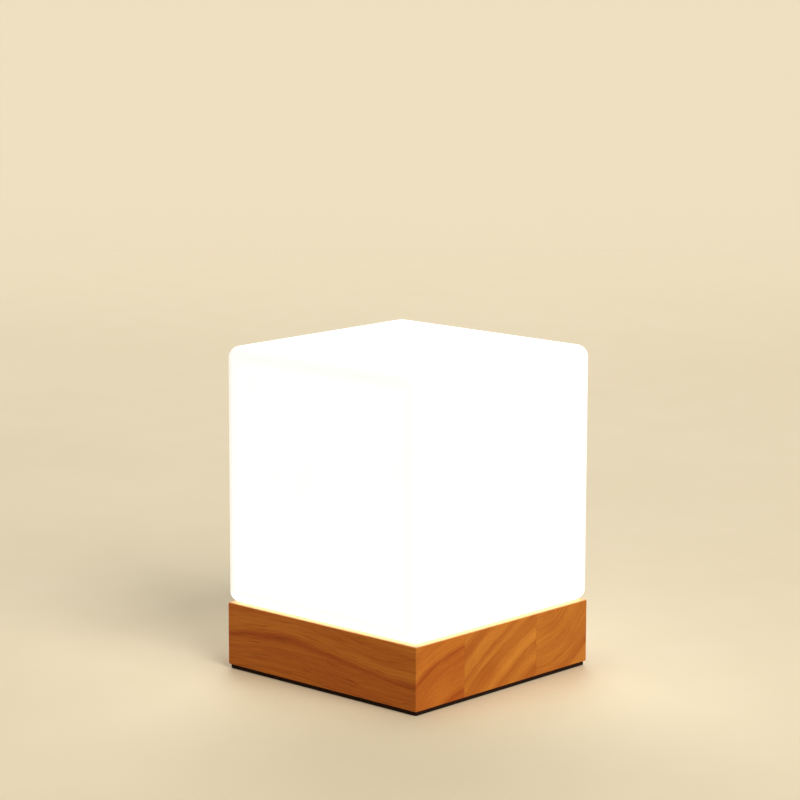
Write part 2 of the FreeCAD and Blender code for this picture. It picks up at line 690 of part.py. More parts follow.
def make_nipple():
    """Hollow threaded tube that ties the lampholder to the base."""
    edge = NIPPLE_R - NIPPLE_CHAMFER
    return turned((NIPPLE_BORE_R, Z_NIPPLE_LOW), (edge, Z_NIPPLE_LOW),
                  (NIPPLE_R, Z_NIPPLE_LOW + NIPPLE_CHAMFER), (NIPPLE_R, Z_NIPPLE_HIGH - NIPPLE_CHAMFER),
                  (edge, Z_NIPPLE_HIGH), (NIPPLE_BORE_R, Z_NIPPLE_HIGH))


def make_flat_washer():
    """Flat washer under the roof of the pocket."""
    return ring(FLAT_WASHER_R, NIPPLE_R + SEAT_FIT, Z_ROOF - FLAT_WASHER_T, Z_ROOF)


def make_lock_washer():
    """Washer with teeth round its edge."""
    high = Z_ROOF - FLAT_WASHER_T
    low = high - LOCK_WASHER_T
    washer = ring(LOCK_WASHER_R, NIPPLE_R + SEAT_FIT, low, high)
    notch = box(Vector(LOCK_WASHER_R - LOCK_TOOTH_DEPTH, -LOCK_NOTCH_WIDTH / 2, low - CUT_OVERRUN),
                Vector(LOCK_WASHER_R + CUT_OVERRUN, LOCK_NOTCH_WIDTH / 2, high + CUT_OVERRUN))
    return cut_all(washer, around(notch, LOCK_TEETH, 0))


def make_nut():
    """Hexagon nut, its corners chamfered on both faces."""
    low = Z_NIPPLE_LOW + NIPPLE_TAIL
    high = low + NUT_HEIGHT
    corner_r = NUT_FLAT_R / math.cos(math.pi / 6)
    points = [Vector(corner_r * math.cos(math.pi * step / 3), corner_r * math.sin(math.pi * step / 3), low)
              for step in range(7)]
    hexagon = Part.Face(Part.makePolygon(points)).extrude(Vector(0, 0, NUT_HEIGHT))
    bore_r = NIPPLE_R + SCREW_FIT
    edge_r = corner_r - NUT_CHAMFER
    envelope = turned((bore_r, low), (edge_r, low), (corner_r, low + NUT_CHAMFER),
                      (corner_r, high - NUT_CHAMFER), (edge_r, high), (bore_r, high))
    return hexagon.common(envelope)


def make_holder_dome():
    """Lower half of the lampholder, with the thread for the nipple and the ledge for the core."""
    bore = HOLDER_DOME_R - HOLDER_WALL
    ledge = bore - HOLDER_STEP
    floor = Z_PLATE + HOLDER_FLOOR
    bend = HOLDER_DOME_EDGE_R
    knee = bend * (1 - math.sqrt(1 / 2))
    dome = turned((NIPPLE_R + SCREW_FIT, Z_PLATE), (HOLDER_DOME_R - bend, Z_PLATE),
                  ((HOLDER_DOME_R - knee, Z_PLATE + knee), (HOLDER_DOME_R, Z_PLATE + bend)),
                  (HOLDER_DOME_R, Z_DOME_TOP), (bore, Z_DOME_TOP), (bore, Z_CORE), (ledge, Z_CORE),
                  (ledge, floor), (NIPPLE_R + SCREW_FIT, floor))
    side = rod(LOCK_SCREW_R + SCREW_FIT, Vector(0, 0, lock_screw_z()),
               Vector(0, -HOLDER_DOME_R - CUT_OVERRUN, lock_screw_z()))
    return dome.cut(side)


def lock_screw_z():
    """Height of the lock screw, half way up the threaded floor."""
    return Z_PLATE + HOLDER_FLOOR / 2


def make_lock_screw():
    """Headless screw that holds the dome on the nipple."""
    start = NIPPLE_R + SCREW_FIT
    end = HOLDER_DOME_R - LOCK_SCREW_SUNK
    half = SLOT_WIDTH_SHARE * LOCK_SCREW_R
    screw = post(LOCK_SCREW_R, 0, 0, start, end)
    slot = box(Vector(-LOCK_SCREW_R - CUT_OVERRUN, -half, end - LOCK_SCREW_R),
               Vector(LOCK_SCREW_R + CUT_OVERRUN, half, end + CUT_OVERRUN))
    return moved(spun(screw.cut(slot), X_AXIS, FULL_TURN / 4), 0, 0, lock_screw_z())


def core_r():
    """Radius of the lampholder core."""
    return HOLDER_DOME_R - HOLDER_WALL - SEAT_FIT - HOLDER_WALL - SEAT_FIT


def make_holder_sleeve():
    """Upper half of the lampholder, pushed into the dome, with a ring over the core."""
    spigot = HOLDER_DOME_R - HOLDER_WALL - SEAT_FIT
    bore = core_r() + SEAT_FIT
    inside = HOLDER_SLEEVE_R - HOLDER_WALL
    rim = HOLDER_RIM_R
    sleeve = turned((bore, Z_CORE), (spigot, Z_CORE), (spigot, Z_DOME_TOP), (HOLDER_SLEEVE_R, Z_DOME_TOP),
                    (HOLDER_SLEEVE_R, Z_SLEEVE_TOP - rim), (HOLDER_SLEEVE_R - rim, Z_SLEEVE_TOP),
                    (inside, Z_SLEEVE_TOP), (inside, Z_CORE_TOP + HOLDER_RING_T),
                    (HOLDER_RING_R, Z_CORE_TOP + HOLDER_RING_T), (HOLDER_RING_R, Z_CORE_TOP),
                    (bore, Z_CORE_TOP))
    groove_r = HOLDER_SLEEVE_R - HOLDER_RIB_DEPTH
    top = Z_SLEEVE_TOP - HOLDER_RIB_GAP / 2
    for index in range(HOLDER_RIB_COUNT):
        high = top - HOLDER_RIB_GAP * index
        sleeve = sleeve.cut(ring(HOLDER_SLEEVE_R + CUT_OVERRUN, groove_r, high - HOLDER_RIB_WIDTH, high))
    return sleeve


def make_holder_core():
    """Insulating disc with slots for the legs of the two contacts."""
    disc = post(core_r(), 0, 0, Z_CORE, Z_CORE_TOP)
    half_x = CONTACT_SHEET / 2 + SEAT_FIT
    half_y = CONTACT_WIDTH / 2 + SEAT_FIT
    for leg_x in (CENTRE_LEG_X, -SIDE_LEG_X):
        disc = disc.cut(box(Vector(leg_x - half_x, -half_y, Z_CORE - CUT_OVERRUN),
                            Vector(leg_x + half_x, half_y, Z_CORE_TOP + CUT_OVERRUN)))
    return disc


def make_screw_shell():
    """Brass shell with the round thread for the bulb."""
    shell = post(SHELL_R, 0, 0, Z_CORE_TOP, Z_SHELL_TOP)
    mean_r = THREAD_MEAN_R + THREAD_CLEARANCE
    return shell.cut(thread_body(mean_r, Z_CORE_TOP - CUT_OVERRUN, Z_SHELL_TOP + CUT_OVERRUN))


def terminal_z():
    """Height of the terminal screws of the lampholder."""
    return Z_CORE - TERMINAL_DROP


def contact_hole(leg_x):
    """Cutting body for a terminal screw through a contact leg."""
    return rod(TERMINAL_SHANK_R + SCREW_FIT, Vector(leg_x - CONTACT_SHEET - CUT_OVERRUN, 0, terminal_z()),
               Vector(leg_x + CONTACT_SHEET + CUT_OVERRUN, 0, terminal_z()))


def make_centre_contact():
    """Leg through the core and a springy tongue under the tip of the bulb."""
    foot = Z_CORE - CONTACT_LEG
    top = Z_CORE_TOP + TONGUE_RISE - CONTACT_SHEET / 2
    start = Z_CORE_TOP + CONTACT_SHEET
    points = [(CENTRE_LEG_X, foot), (CENTRE_LEG_X, start), (TONGUE_NOSE, top), (-TONGUE_NOSE, top),
              (-TONGUE_NOSE - CONTACT_SHEET, top - CONTACT_SHEET)]
    return strip(points, CONTACT_SHEET, CONTACT_WIDTH).cut(contact_hole(CENTRE_LEG_X))


def make_side_contact():
    """Leg through the core that meets the foot of the screw shell."""
    half_x = CONTACT_SHEET / 2
    half_y = CONTACT_WIDTH / 2
    leg = box(Vector(-SIDE_LEG_X - half_x, -half_y, Z_CORE - CONTACT_LEG),
              Vector(-SIDE_LEG_X + half_x, half_y, Z_CORE_TOP))
    return leg.cut(contact_hole(-SIDE_LEG_X))


def make_terminal_screws():
    """One screw through each contact leg, its head facing outward."""
    screw = slotted_screw(TERMINAL_HEAD_R, TERMINAL_HEAD_H, TERMINAL_SHANK_R, TERMINAL_GRIP)
    right = moved(spun(screw, Y_AXIS, FULL_TURN / 4), CENTRE_LEG_X + CONTACT_SHEET / 2, 0, terminal_z())
    left = moved(spun(screw, Y_AXIS, -FULL_TURN / 4), -SIDE_LEG_X - CONTACT_SHEET / 2, 0, terminal_z())
    return group([right, left])


def make_tip():
    """Tip contact of the bulb, with a stem into the insulator."""
    low = Z_TIP
    high = Z_INSULATOR
    stem = high + TIP_STEM_LENGTH
    return turned((0, low), (TIP_R * HEAD_DOME_SHARES[0], low), (TIP_R, (low + high) / 2), (TIP_R, high),
                  (TIP_STEM_R, high), (TIP_STEM_R, stem), (0, stem))


def make_insulator():
    """Dark cone between the tip and the screw cap."""
    hole = TIP_STEM_R + SEAT_FIT
    low = Z_INSULATOR
    floor = low + TIP_STEM_LENGTH + SEAT_FIT
    return turned((hole, low), (INSULATOR_LOW_R, low), (INSULATOR_HIGH_R, Z_CAP), (0, Z_CAP), (0, floor),
                  (hole, floor))


def make_cap():
    """Screw cap of the bulb with its flared collar."""
    thread = thread_body(THREAD_MEAN_R, Z_CAP, Z_FLARE)
    flare = turned((0, Z_FLARE), (CAP_FLARE_LOW_R, Z_FLARE), (CAP_FLARE_HIGH_R, Z_FLARE_TOP),
                   (0, Z_FLARE_TOP))
    bore = post(CAP_BORE_R, 0, 0, Z_CAP - CUT_OVERRUN, Z_FLARE_TOP + CUT_OVERRUN)
    return thread.fuse(flare).cut(bore)


def make_bulb_housing():
    """Cone between the screw cap and the globe, hollow for the driver."""
    neck = CAP_FLARE_HIGH_R + SEAT_FIT
    seat = BULB_JOIN_R - BULB_LEDGE
    ledge = seat - BULB_BOARD_LEDGE
    shoulder = Z_FLARE_TOP + SEAT_FIT
    return turned((neck, Z_HOUSING), (BULB_NECK_R, Z_HOUSING), (BULB_JOIN_R, Z_JOIN), (seat, Z_JOIN),
                  (seat, Z_LED_BOARD), (ledge, Z_LED_BOARD), (neck, shoulder))


def make_diffuser():
    """Opal globe, cut flat where it meets the housing."""
    inner_r = BULB_R - BULB_WALL
    foot_r = math.sqrt(inner_r ** 2 - (Z_GLOBE - Z_JOIN) ** 2)
    return turned((BULB_JOIN_R, Z_JOIN), ((BULB_R, Z_GLOBE), (0, Z_GLOBE + BULB_R)), (0, Z_GLOBE + inner_r),
                  ((inner_r, Z_GLOBE), (foot_r, Z_JOIN)))


def make_led_chips():
    """Ring of LED chips on the board."""
    chip = box(Vector(LED_RING_R - LED_WIDTH / 2, -LED_LENGTH / 2, Z_JOIN),
               Vector(LED_RING_R + LED_WIDTH / 2, LED_LENGTH / 2, Z_JOIN + LED_HEIGHT))
    return group(around(chip, LED_COUNT, 0))


def make_driver_board():
    """Upright board under the LED board."""
    half_x = DRIVER_BOARD_T / 2
    half_y = DRIVER_BOARD_WIDTH / 2
    return box(Vector(-half_x, -half_y, Z_LED_BOARD - DRIVER_BOARD_HEIGHT),
               Vector(half_x, half_y, Z_LED_BOARD))


def make_driver_parts():
    """Can, coil and chip on the two sides of the driver board."""
    face = DRIVER_BOARD_T / 2
    high = Z_LED_BOARD - DRIVER_PART_DROP
    can = post(DRIVER_CAN_R, face + DRIVER_CAN_R + SCREW_FIT, 0, high - DRIVER_CAN_HEIGHT, high)
    wound = post(DRIVER_COIL_R, -face - DRIVER_COIL_R - SCREW_FIT, 0, high - DRIVER_COIL_HEIGHT, high)
    low = Z_LED_BOARD - DRIVER_BOARD_HEIGHT + DRIVER_CHIP_RISE
    chip = box(Vector(-face - DRIVER_CHIP_T, -DRIVER_CHIP_WIDTH / 2, low),
               Vector(-face, DRIVER_CHIP_WIDTH / 2, low + DRIVER_CHIP_HEIGHT))
    return group([can, wound, chip])


def make_grommet():
    """Rubber bush for the cord, with a flange outside and a ridge inside the wall."""
    inside = -BASE_WALL
    lip = GROMMET_LIP_R
    flange = GROMMET_FLANGE_T
    bush = turned((GROMMET_BORE_R, inside - GROMMET_RIDGE_T), (GROMMET_R, inside - GROMMET_RIDGE_T),
                  (GROMMET_RIDGE_R, inside), (GROMMET_R, inside), (GROMMET_R, 0), (GROMMET_FLANGE_R, 0),
                  (GROMMET_FLANGE_R, flange - lip), (GROMMET_FLANGE_R - lip, flange),
                  (GROMMET_BORE_R, flange))
    return at_rear(bush, 0, 0)


def pole_x(side):
    """Place of a pole of the terminal block."""
    return side * BLOCK_PITCH / 2


def clamp_places():
    """Places of the four clamp screws."""
    half = BLOCK_SCREW_SPACING / 2
    return [(pole_x(side), BLOCK_MIDDLE + step * half) for side in (-1, 1) for step in (-1, 1)]


def make_block():
    """Insulating body of the terminal block: a slab, two barrels and four screw towers."""
    low = Z_ROOF - BLOCK_TOWER_DROP
    pieces = [box(Vector(-BLOCK_WIDTH / 2, BLOCK_FRONT, Z_ROOF - BLOCK_SLAB),
                  Vector(BLOCK_WIDTH / 2, BLOCK_BACK, Z_ROOF))]
    for side in (-1, 1):
        pieces.append(rod(BLOCK_BARREL_R, Vector(pole_x(side), BLOCK_FRONT, Z_POLE),
                          Vector(pole_x(side), BLOCK_BACK, Z_POLE)))
    for x, y in clamp_places():
        pieces.append(post(BLOCK_TOWER_R, x, y, low, Z_POLE))
    body = fuse_all(pieces)
    for side in (-1, 1):
        body = body.cut(rod(SLEEVE_R + SCREW_FIT, Vector(pole_x(side), BLOCK_FRONT - CUT_OVERRUN, Z_POLE),
                            Vector(pole_x(side), BLOCK_BACK + CUT_OVERRUN, Z_POLE)))
    wells = [post(BLOCK_WELL_R, x, y, low - CUT_OVERRUN, Z_POLE) for x, y in clamp_places()]
    hole = post(BLOCK_SCREW_R + SCREW_FIT, 0, BLOCK_MIDDLE, low, Z_ROOF + CUT_OVERRUN)
    seat = post(BLOCK_SCREW_HEAD_R + SEAT_FIT, 0, BLOCK_MIDDLE, low, Z_ROOF - BLOCK_SLAB)
    return cut_all(body, wells + [hole, seat])


def make_sleeves():
    """Brass tubes in the block, each with two tapped holes."""
    tubes = []
    for side in (-1, 1):
        start = Vector(pole_x(side), BLOCK_FRONT + SLEEVE_INSET, Z_POLE)
        end = Vector(pole_x(side), BLOCK_BACK - SLEEVE_INSET, Z_POLE)
        bore = rod(SLEEVE_BORE_R, start.sub(Y_AXIS * CUT_OVERRUN), end.add(Y_AXIS * CUT_OVERRUN))
        tubes.append(rod(SLEEVE_R, start, end).cut(bore))
    taps = [post(CLAMP_SHANK_R + SCREW_FIT, x, y, Z_POLE - SLEEVE_R - CUT_OVERRUN, Z_POLE)
            for x, y in clamp_places()]
    return group([cut_all(tube_piece, taps) for tube_piece in tubes])


def make_clamp_screws():
    """Slotted screws that point up into the sleeves and clamp the wires."""
    seat = Z_POLE - SLEEVE_R - SEAT_FIT
    length = Z_POLE - WIRE_R - SCREW_FIT - seat
    screw = spun(slotted_screw(CLAMP_HEAD_R, CLAMP_HEAD_H, CLAMP_SHANK_R, length), X_AXIS, FULL_TURN / 2)
    return group([moved(screw, x, y, seat) for x, y in clamp_places()])


def make_block_screw():
    """Wood screw that holds the terminal block to the roof of the pocket."""
    screw = pan_screw(BLOCK_SCREW_HEAD_R, BLOCK_SCREW_HEAD_H, BLOCK_SCREW_R, BLOCK_SCREW_LENGTH)
    return moved(spun(screw, X_AXIS, FULL_TURN / 2), 0, BLOCK_MIDDLE, Z_ROOF - BLOCK_SLAB)


def connector_mouth(x):
    """Inner end of a lead in the barrel of a push-on connector."""
    return Vector(SWITCH_X + x, Y_REAR + PIVOT_OUT - CONNECTOR_END + LEAD_GRIP, Z_REAR)


def pole_mouth(side):
    """Inner end of a lead in the terminal block."""
    return Vector(pole_x(side), BLOCK_FRONT + LEAD_GRIP, Z_POLE)


def between(start, end, shares):
    """Place on the way between two points, with its own share in each direction."""
    span = end.sub(start)
    return start.add(Vector(span.x * shares[0], span.y * shares[1], span.z * shares[2]))


def nipple_rise(side):
    """Last points of a lead that turns up below the nipple and runs through it."""
    out = side * LEAD_OUT
    turn = Vector(side * LEAD_TURN_OUT, 0, Z_NIPPLE_LOW - LEAD_TURN_DROP)
    return [turn, Vector(out, 0, Z_NIPPLE_LOW - LEAD_RISE_DROP), Vector(out, 0, Z_NIPPLE_HIGH + LEAD_ABOVE)]


def make_live_lead():
    """Lead from the switch to the terminal block."""
    start = connector_mouth(0)
    end = pole_mouth(1)
    leave = start.sub(Vector(0, LEAD_GRIP + LEAD_RUN, 0))
    enter = end.sub(Vector(0, LEAD_GRIP + LEAD_RUN, 0))
    turn = enter.add(Vector(LEAD_AROUND_X, -LEAD_AROUND_Y, 0))
    bow = between(leave, turn, LEAD_BOW_SHARES)
    return tube([start, leave, bow, turn, enter, end], LEAD_R)


def make_switched_lead():
    """Lead from the switch through the nipple to the centre contact."""
    start = connector_mouth(LOAD_X)
    leave = start.sub(Vector(0, LEAD_GRIP + LEAD_RUN, 0))
    rise = nipple_rise(1)
    near = rise[0].add(Vector(LEAD_APPROACH, LEAD_APPROACH_DROP, -LEAD_APPROACH_DROP))
    bow = between(leave, near, SWITCHED_BOW_SHARES)
    return tube([start, leave, bow, near] + rise, LEAD_R)


def make_neutral_lead():
    """Lead from the terminal block through the nipple to the side contact."""
    start = pole_mouth(-1)
    leave = start.sub(Vector(0, LEAD_GRIP + LEAD_RUN, 0))
    dive = Vector(leave.x - LEAD_DIVE_X, leave.y - LEAD_DIVE_Y, Z_NIPPLE_LOW - LEAD_DIVE_DROP)
    return tube([start, leave, dive] + nipple_rise(-1), LEAD_R)


def make_wire_ends():
    """Bare ends of the leads in the lampholder and in the terminal block."""
    pieces = []
    low = Z_NIPPLE_HIGH + LEAD_ABOVE
    centre_x = CENTRE_LEG_X - CONTACT_SHEET / 2 - WIRE_R - SCREW_FIT
    side_x = -SIDE_LEG_X + CONTACT_SHEET / 2 + WIRE_R + SCREW_FIT
    for side, end_x in ((1, centre_x), (-1, side_x)):
        pieces.append(tube([Vector(side * LEAD_OUT, 0, low), Vector(side * LEAD_OUT, 0, low + WIRE_R),
                            Vector(end_x, WIRE_OUT_Y, low + WIRE_BEND_RISE),
                            Vector(end_x, WIRE_OUT_Y, low + WIRE_END_RISE)], WIRE_R))
    for side in (-1, 1):
        start = pole_mouth(side)
        pieces.append(rod(WIRE_R, start, start.add(Vector(0, WIRE_IN_BLOCK, 0))))
    return group(pieces)


def centred_box(length, width, low, high):
    """Block centred on the Z axis."""
    return box(Vector(-length / 2, -width / 2, low), Vector(length / 2, width / 2, high))


def make_switch_housing():
    """Bezel and body of the switch, open in front, with bearings for the rocker and slots for the tabs."""
    face = SWITCH_BEZEL_T - PIVOT_OUT
    bezel = centred_box(SWITCH_BEZEL_LENGTH, SWITCH_BEZEL_WIDTH, -PIVOT_OUT, face)
    rounded = [edge for edge in bezel.Edges if edge.BoundBox.ZMax > face - SEAT_FIT]
    bezel = bezel.makeFillet(SWITCH_BEZEL_R, rounded)
    body = centred_box(SWITCH_BODY_LENGTH, SWITCH_BODY_WIDTH, -SWITCH_BACK, 0)
    room = centred_box(SWITCH_BODY_LENGTH - 2 * SWITCH_WALL, SWITCH_BODY_WIDTH - 2 * SWITCH_WALL,
                       -SWITCH_BACK + SWITCH_WALL, face + CUT_OVERRUN)
    reach = ROCKER_HALF_WIDTH + TRUNNION_LENGTH + TRUNNION_FIT
    bearing = rod(TRUNNION_R + TRUNNION_FIT, Vector(0, -reach, 0), Vector(0, reach, 0))
    slots = [moved(centred_box(TAB_SHEET + 2 * SCREW_FIT, TAB_WIDTH + 2 * SCREW_FIT,
                               -SWITCH_BACK - CUT_OVERRUN, -SWITCH_BACK + SWITCH_WALL + CUT_OVERRUN), x, 0, 0)
             for x in (0, LOAD_X)]
    return at_rear(cut_all(bezel.fuse(body).removeSplitter(), [room, bearing] + slots), SWITCH_X, PIVOT_OUT)


def make_rocker():
    """Rocker with a shallow V face, swinging clear of the housing, with trunnions and a bored boss."""
    slope = math.tan(math.radians(ROCKER_TILT_DEG))
    square = 1 + slope ** 2
    reach = math.sqrt(square * ROCKER_R ** 2 - ROCKER_RISE ** 2)
    end_x = (reach - ROCKER_RISE * slope) / square
    end_z = ROCKER_RISE + end_x * slope
    low_x = math.sqrt(ROCKER_R ** 2 - ROCKER_DROP ** 2)
    section = outline((low_x, -ROCKER_DROP), ((ROCKER_R, 0), (end_x, end_z)), (0, ROCKER_RISE),
                      (-end_x, end_z), ((-ROCKER_R, 0), (-low_x, -ROCKER_DROP)))
    block = centred_prism(section, 2 * ROCKER_HALF_WIDTH)
    tips = [edge for edge in block.Edges if edge.BoundBox.ZMin > end_z - SEAT_FIT]
    block = block.makeFillet(ROCKER_EDGE_R, tips)
    half = ROCKER_HALF_WIDTH + TRUNNION_LENGTH
    trunnion = rod(TRUNNION_R, Vector(0, -half, 0), Vector(0, half, 0))
    boss = post(BOSS_R, 0, 0, -BOSS_DROP, -ROCKER_DROP + SEAT_FIT)
    bore = post(BOSS_BORE_R, 0, 0, -BOSS_DROP - CUT_OVERRUN, -BOSS_BORE_TOP)
    rocker = fuse_all([block, trunnion, boss]).cut(bore)
    return at_rear(spun(rocker, Y_AXIS, -ROCKER_TILT_DEG), SWITCH_X, PIVOT_OUT)


def make_plunger():
    """Pin with a round nose, pushed out of the rocker by its spring."""
    radius = BOSS_BORE_R - SEAT_FIT
    knee = radius * math.sqrt(1 / 2)
    centre = -PLUNGER_REACH + radius
    pin = turned((0, -PLUNGER_TOP), (radius, -PLUNGER_TOP), (radius, centre),
                 ((knee, centre - knee), (0, -PLUNGER_REACH)))
    return at_rear(spun(pin, Y_AXIS, -ROCKER_TILT_DEG), SWITCH_X, PIVOT_OUT)


def make_spring():
    """Compression spring between the rocker and the plunger."""
    height = PLUNGER_TOP - BOSS_BORE_TOP - 2 * SCREW_FIT
    wound = moved(coil(SPRING_R, SPRING_WIRE_R, height, SPRING_TURNS), 0, 0, -PLUNGER_TOP + SCREW_FIT)
    return at_rear(spun(wound, Y_AXIS, -ROCKER_TILT_DEG), SWITCH_X, PIVOT_OUT)


def make_bridge():
    """See-saw contact that rocks on the middle terminal."""
    leaf = centred_box(BRIDGE_LENGTH, BRIDGE_WIDTH, 0, BRIDGE_SHEET)
    return at_rear(moved(spun(leaf, Y_AXIS, BRIDGE_TILT_DEG), 0, 0, -BRIDGE_DROP), SWITCH_X, PIVOT_OUT)


def make_switch_terminals():
    """Middle tab that carries the see-saw contact, and the tab that it closes on."""
    dip = (LOAD_X + TAB_SHEET / 2) * math.tan(math.radians(BRIDGE_TILT_DEG))
    middle = centred_box(TAB_SHEET, TAB_WIDTH, -TAB_END, -BRIDGE_DROP - BRIDGE_GAP)
    load = moved(centred_box(TAB_SHEET, TAB_WIDTH, -TAB_END, -BRIDGE_DROP - dip - BRIDGE_GAP), LOAD_X, 0, 0)
    return group([at_rear(tab, SWITCH_X, PIVOT_OUT) for tab in (middle, load)])


def make_connectors():
    """Push-on connectors on the tabs, each with a barrel for its lead."""
    foot = -TAB_END - CONNECTOR_WALL
    top = foot + CONNECTOR_LENGTH
    sleeve = centred_box(TAB_SHEET + 2 * CONNECTOR_WALL, TAB_WIDTH + 2 * CONNECTOR_WALL, foot, top)
    slot = centred_box(TAB_SHEET + 2 * SCREW_FIT, TAB_WIDTH + 2 * SCREW_FIT, -TAB_END - SCREW_FIT,
                       top + CUT_OVERRUN)
    barrel = post(BARREL_R, 0, 0, -CONNECTOR_END, foot + SCREW_FIT)
    bore = post(LEAD_R + SCREW_FIT, 0, 0, -CONNECTOR_END - CUT_OVERRUN,
                -CONNECTOR_END + LEAD_GRIP + SCREW_FIT)
    connector = sleeve.cut(slot).fuse(barrel).cut(bore)
    return group([at_rear(moved(connector, x, 0, 0), SWITCH_X, PIVOT_OUT) for x in (0, LOAD_X)])


NODES = {
    "wood_base": make_wood_base,
    "anti_slip_pad": make_pad,
    "bottom_cover": make_cover,
    "cover_screws": make_cover_screws,
    "glass_shade": make_shade,
    "shade_gasket": make_gasket,
    "seat_plate": make_plate,
    "shade_clips": make_clips,
    "plate_screws": make_plate_screws,
    "threaded_nipple": make_nipple,
    "flat_washer": make_flat_washer,
    "lock_washer": make_lock_washer,
    "nipple_nut": make_nut,
    "holder_dome": make_holder_dome,
    "holder_lock_screw": make_lock_screw,
    "holder_sleeve": make_holder_sleeve,
    "holder_core": make_holder_core,
    "holder_screw_shell": make_screw_shell,
    "holder_centre_contact": make_centre_contact,
    "holder_side_contact": make_side_contact,
    "holder_terminal_screws": make_terminal_screws,
    "bulb_tip_contact": make_tip,
    "bulb_cap_insulator": make_insulator,
    "bulb_screw_cap": make_cap,
    "bulb_housing": make_bulb_housing,
    "bulb_diffuser": make_diffuser,
    "bulb_led_board": lambda: post(LED_BOARD_R, 0, 0, Z_LED_BOARD, Z_JOIN),
    "bulb_led_chips": make_led_chips,
    "bulb_driver_board": make_driver_board,
    "bulb_driver_parts": make_driver_parts,
    "cord_grommet": make_grommet,
    "terminal_block": make_block,
    "terminal_sleeves": make_sleeves,
    "terminal_clamp_screws": make_clamp_screws,
    "terminal_block_screw": make_block_screw,
    "live_lead": make_live_lead,
    "switched_lead": make_switched_lead,
    "neutral_lead": make_neutral_lead,
    "wire_ends": make_wire_ends,
    "switch_housing": make_switch_housing,
    "switch_rocker": make_rocker,
    "switch_plunger": make_plunger,
    "switch_spring": make_spring,
    "switch_contact_lever": make_bridge,
    "switch_terminals": make_switch_terminals,
    "push_on_connectors": make_connectors,
}

os.makedirs("parts", exist_ok=True)
for name, make in NODES.items():
    shape = make()
    if not shape.isValid():
        print("not valid:", name)
    shape.exportStep("parts/" + name + ".step")
    print(name, len(shape.Solids), "solids", round(shape.Volume, 2), "mm3")
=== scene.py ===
import math

import bmesh
import bpy
from mathutils import Matrix, Vector


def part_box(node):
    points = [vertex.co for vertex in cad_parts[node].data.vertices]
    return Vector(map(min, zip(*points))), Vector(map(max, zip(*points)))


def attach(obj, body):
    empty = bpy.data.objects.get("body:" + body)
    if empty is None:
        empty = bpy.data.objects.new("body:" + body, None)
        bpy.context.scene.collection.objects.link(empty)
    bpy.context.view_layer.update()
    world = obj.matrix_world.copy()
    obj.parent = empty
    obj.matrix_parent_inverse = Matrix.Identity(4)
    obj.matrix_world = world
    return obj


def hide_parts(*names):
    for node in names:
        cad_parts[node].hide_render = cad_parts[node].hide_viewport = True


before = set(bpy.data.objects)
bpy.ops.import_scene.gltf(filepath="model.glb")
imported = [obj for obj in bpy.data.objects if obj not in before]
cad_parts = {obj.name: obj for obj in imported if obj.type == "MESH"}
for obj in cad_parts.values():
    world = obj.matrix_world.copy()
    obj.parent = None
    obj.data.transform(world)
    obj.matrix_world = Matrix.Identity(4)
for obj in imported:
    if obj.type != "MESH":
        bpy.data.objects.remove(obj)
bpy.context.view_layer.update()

# Bedside lamp: an opal glass cube, lit from inside, on a block of oiled wood.
# Sizes and places are in metres, and what shapes a finish is in millimetres.
# Colours of three numbers go from 0 to 255. Tints and lights, of four numbers, go from 0 to 1.
MM = 0.001
FULL_TURN = 2 * math.pi

# Camera: a long lens, a little above the lamp, that looks at the corner between its front and its right side
VIEW_CENTRE = Vector((0.0, 0.0, 0.090))
VIEW_AZIMUTH = math.radians(42.42)
VIEW_ELEVATION = math.radians(12.64)
VIEW_DISTANCE = 1.747
VIEW_AIM = Vector((-0.0037, -0.0034, 0.1604))
VIEW_ROLL = math.radians(0.163)
LENS_MM = 133.76
SENSOR_MM = 36.0

# Studio. The row of the floor has the same order as the rows of the moulded finishes below.
FLOOR_RADIUS = 3.0
FLOOR_SIDES = 128
FLOOR_FADE_FROM_MM = 700.0
FLOOR_FADE_TO_MM = 2600.0
FLOOR_ROW = ((236, 221, 188), (234, 219, 185), 400.0, 40.0, 0.6, 0.7, 0.0)
BACKDROP = (238, 224, 192)
KEY_PLACE = Vector((3.2, -0.75, 3.0))
KEY_SIZE = 2.6
KEY_POWER = 140.0
FILL_PLACE = Vector((-2.2, 2.2, 2.2))
FILL_SIZE = 2.6
FILL_POWER = 50.0
SKY_STRENGTH = 0.22
SKY_TINT = (1.0, 0.93, 0.8, 1.0)

# Modelling: what counts as along an axis, as square to it, and as the same place
ALONG = 0.9
SQUARE = 0.1
NEAR = 0.05 * MM
MERGE = 0.001 * MM
SHARP_ANGLE = math.radians(35)
ROUND_PROFILE = 0.5

# Foam pad
PAD_CORNER_R = 1.0 * MM
PAD_CORNER_STEPS = 8
PAD_EDGE_R = 0.5 * MM
PAD_EDGE_STEPS = 3
PAD_HOLE_R = 4.2 * MM
PAD_HOLE_SIDES = 48
PUNCH_REACH = 4                  # times the thickness of the pad
COVER_SCREW_HEAD_R = 3.0 * MM

# Gasket
GASKET_WIDTH = 4.0 * MM
GASKET_EDGE_R = 0.45 * MM
GASKET_EDGE_STEPS = 5
GASKET_STEPS = 144

# Cord bush
BUSH_SIDES = 96
BUSH_BORE_R = 3.5 * MM
BUSH_NECK_R = 4.8 * MM
BUSH_RIDGE_R = 5.6 * MM
BUSH_RIDGE_T = 1.8 * MM
BUSH_FLANGE_T = 2.0 * MM
BUSH_RIM_R = 0.8 * MM
BUSH_RIM_STEPS = 5
BUSH_LIP_R = 0.6 * MM
BUSH_LIP_STEPS = 4

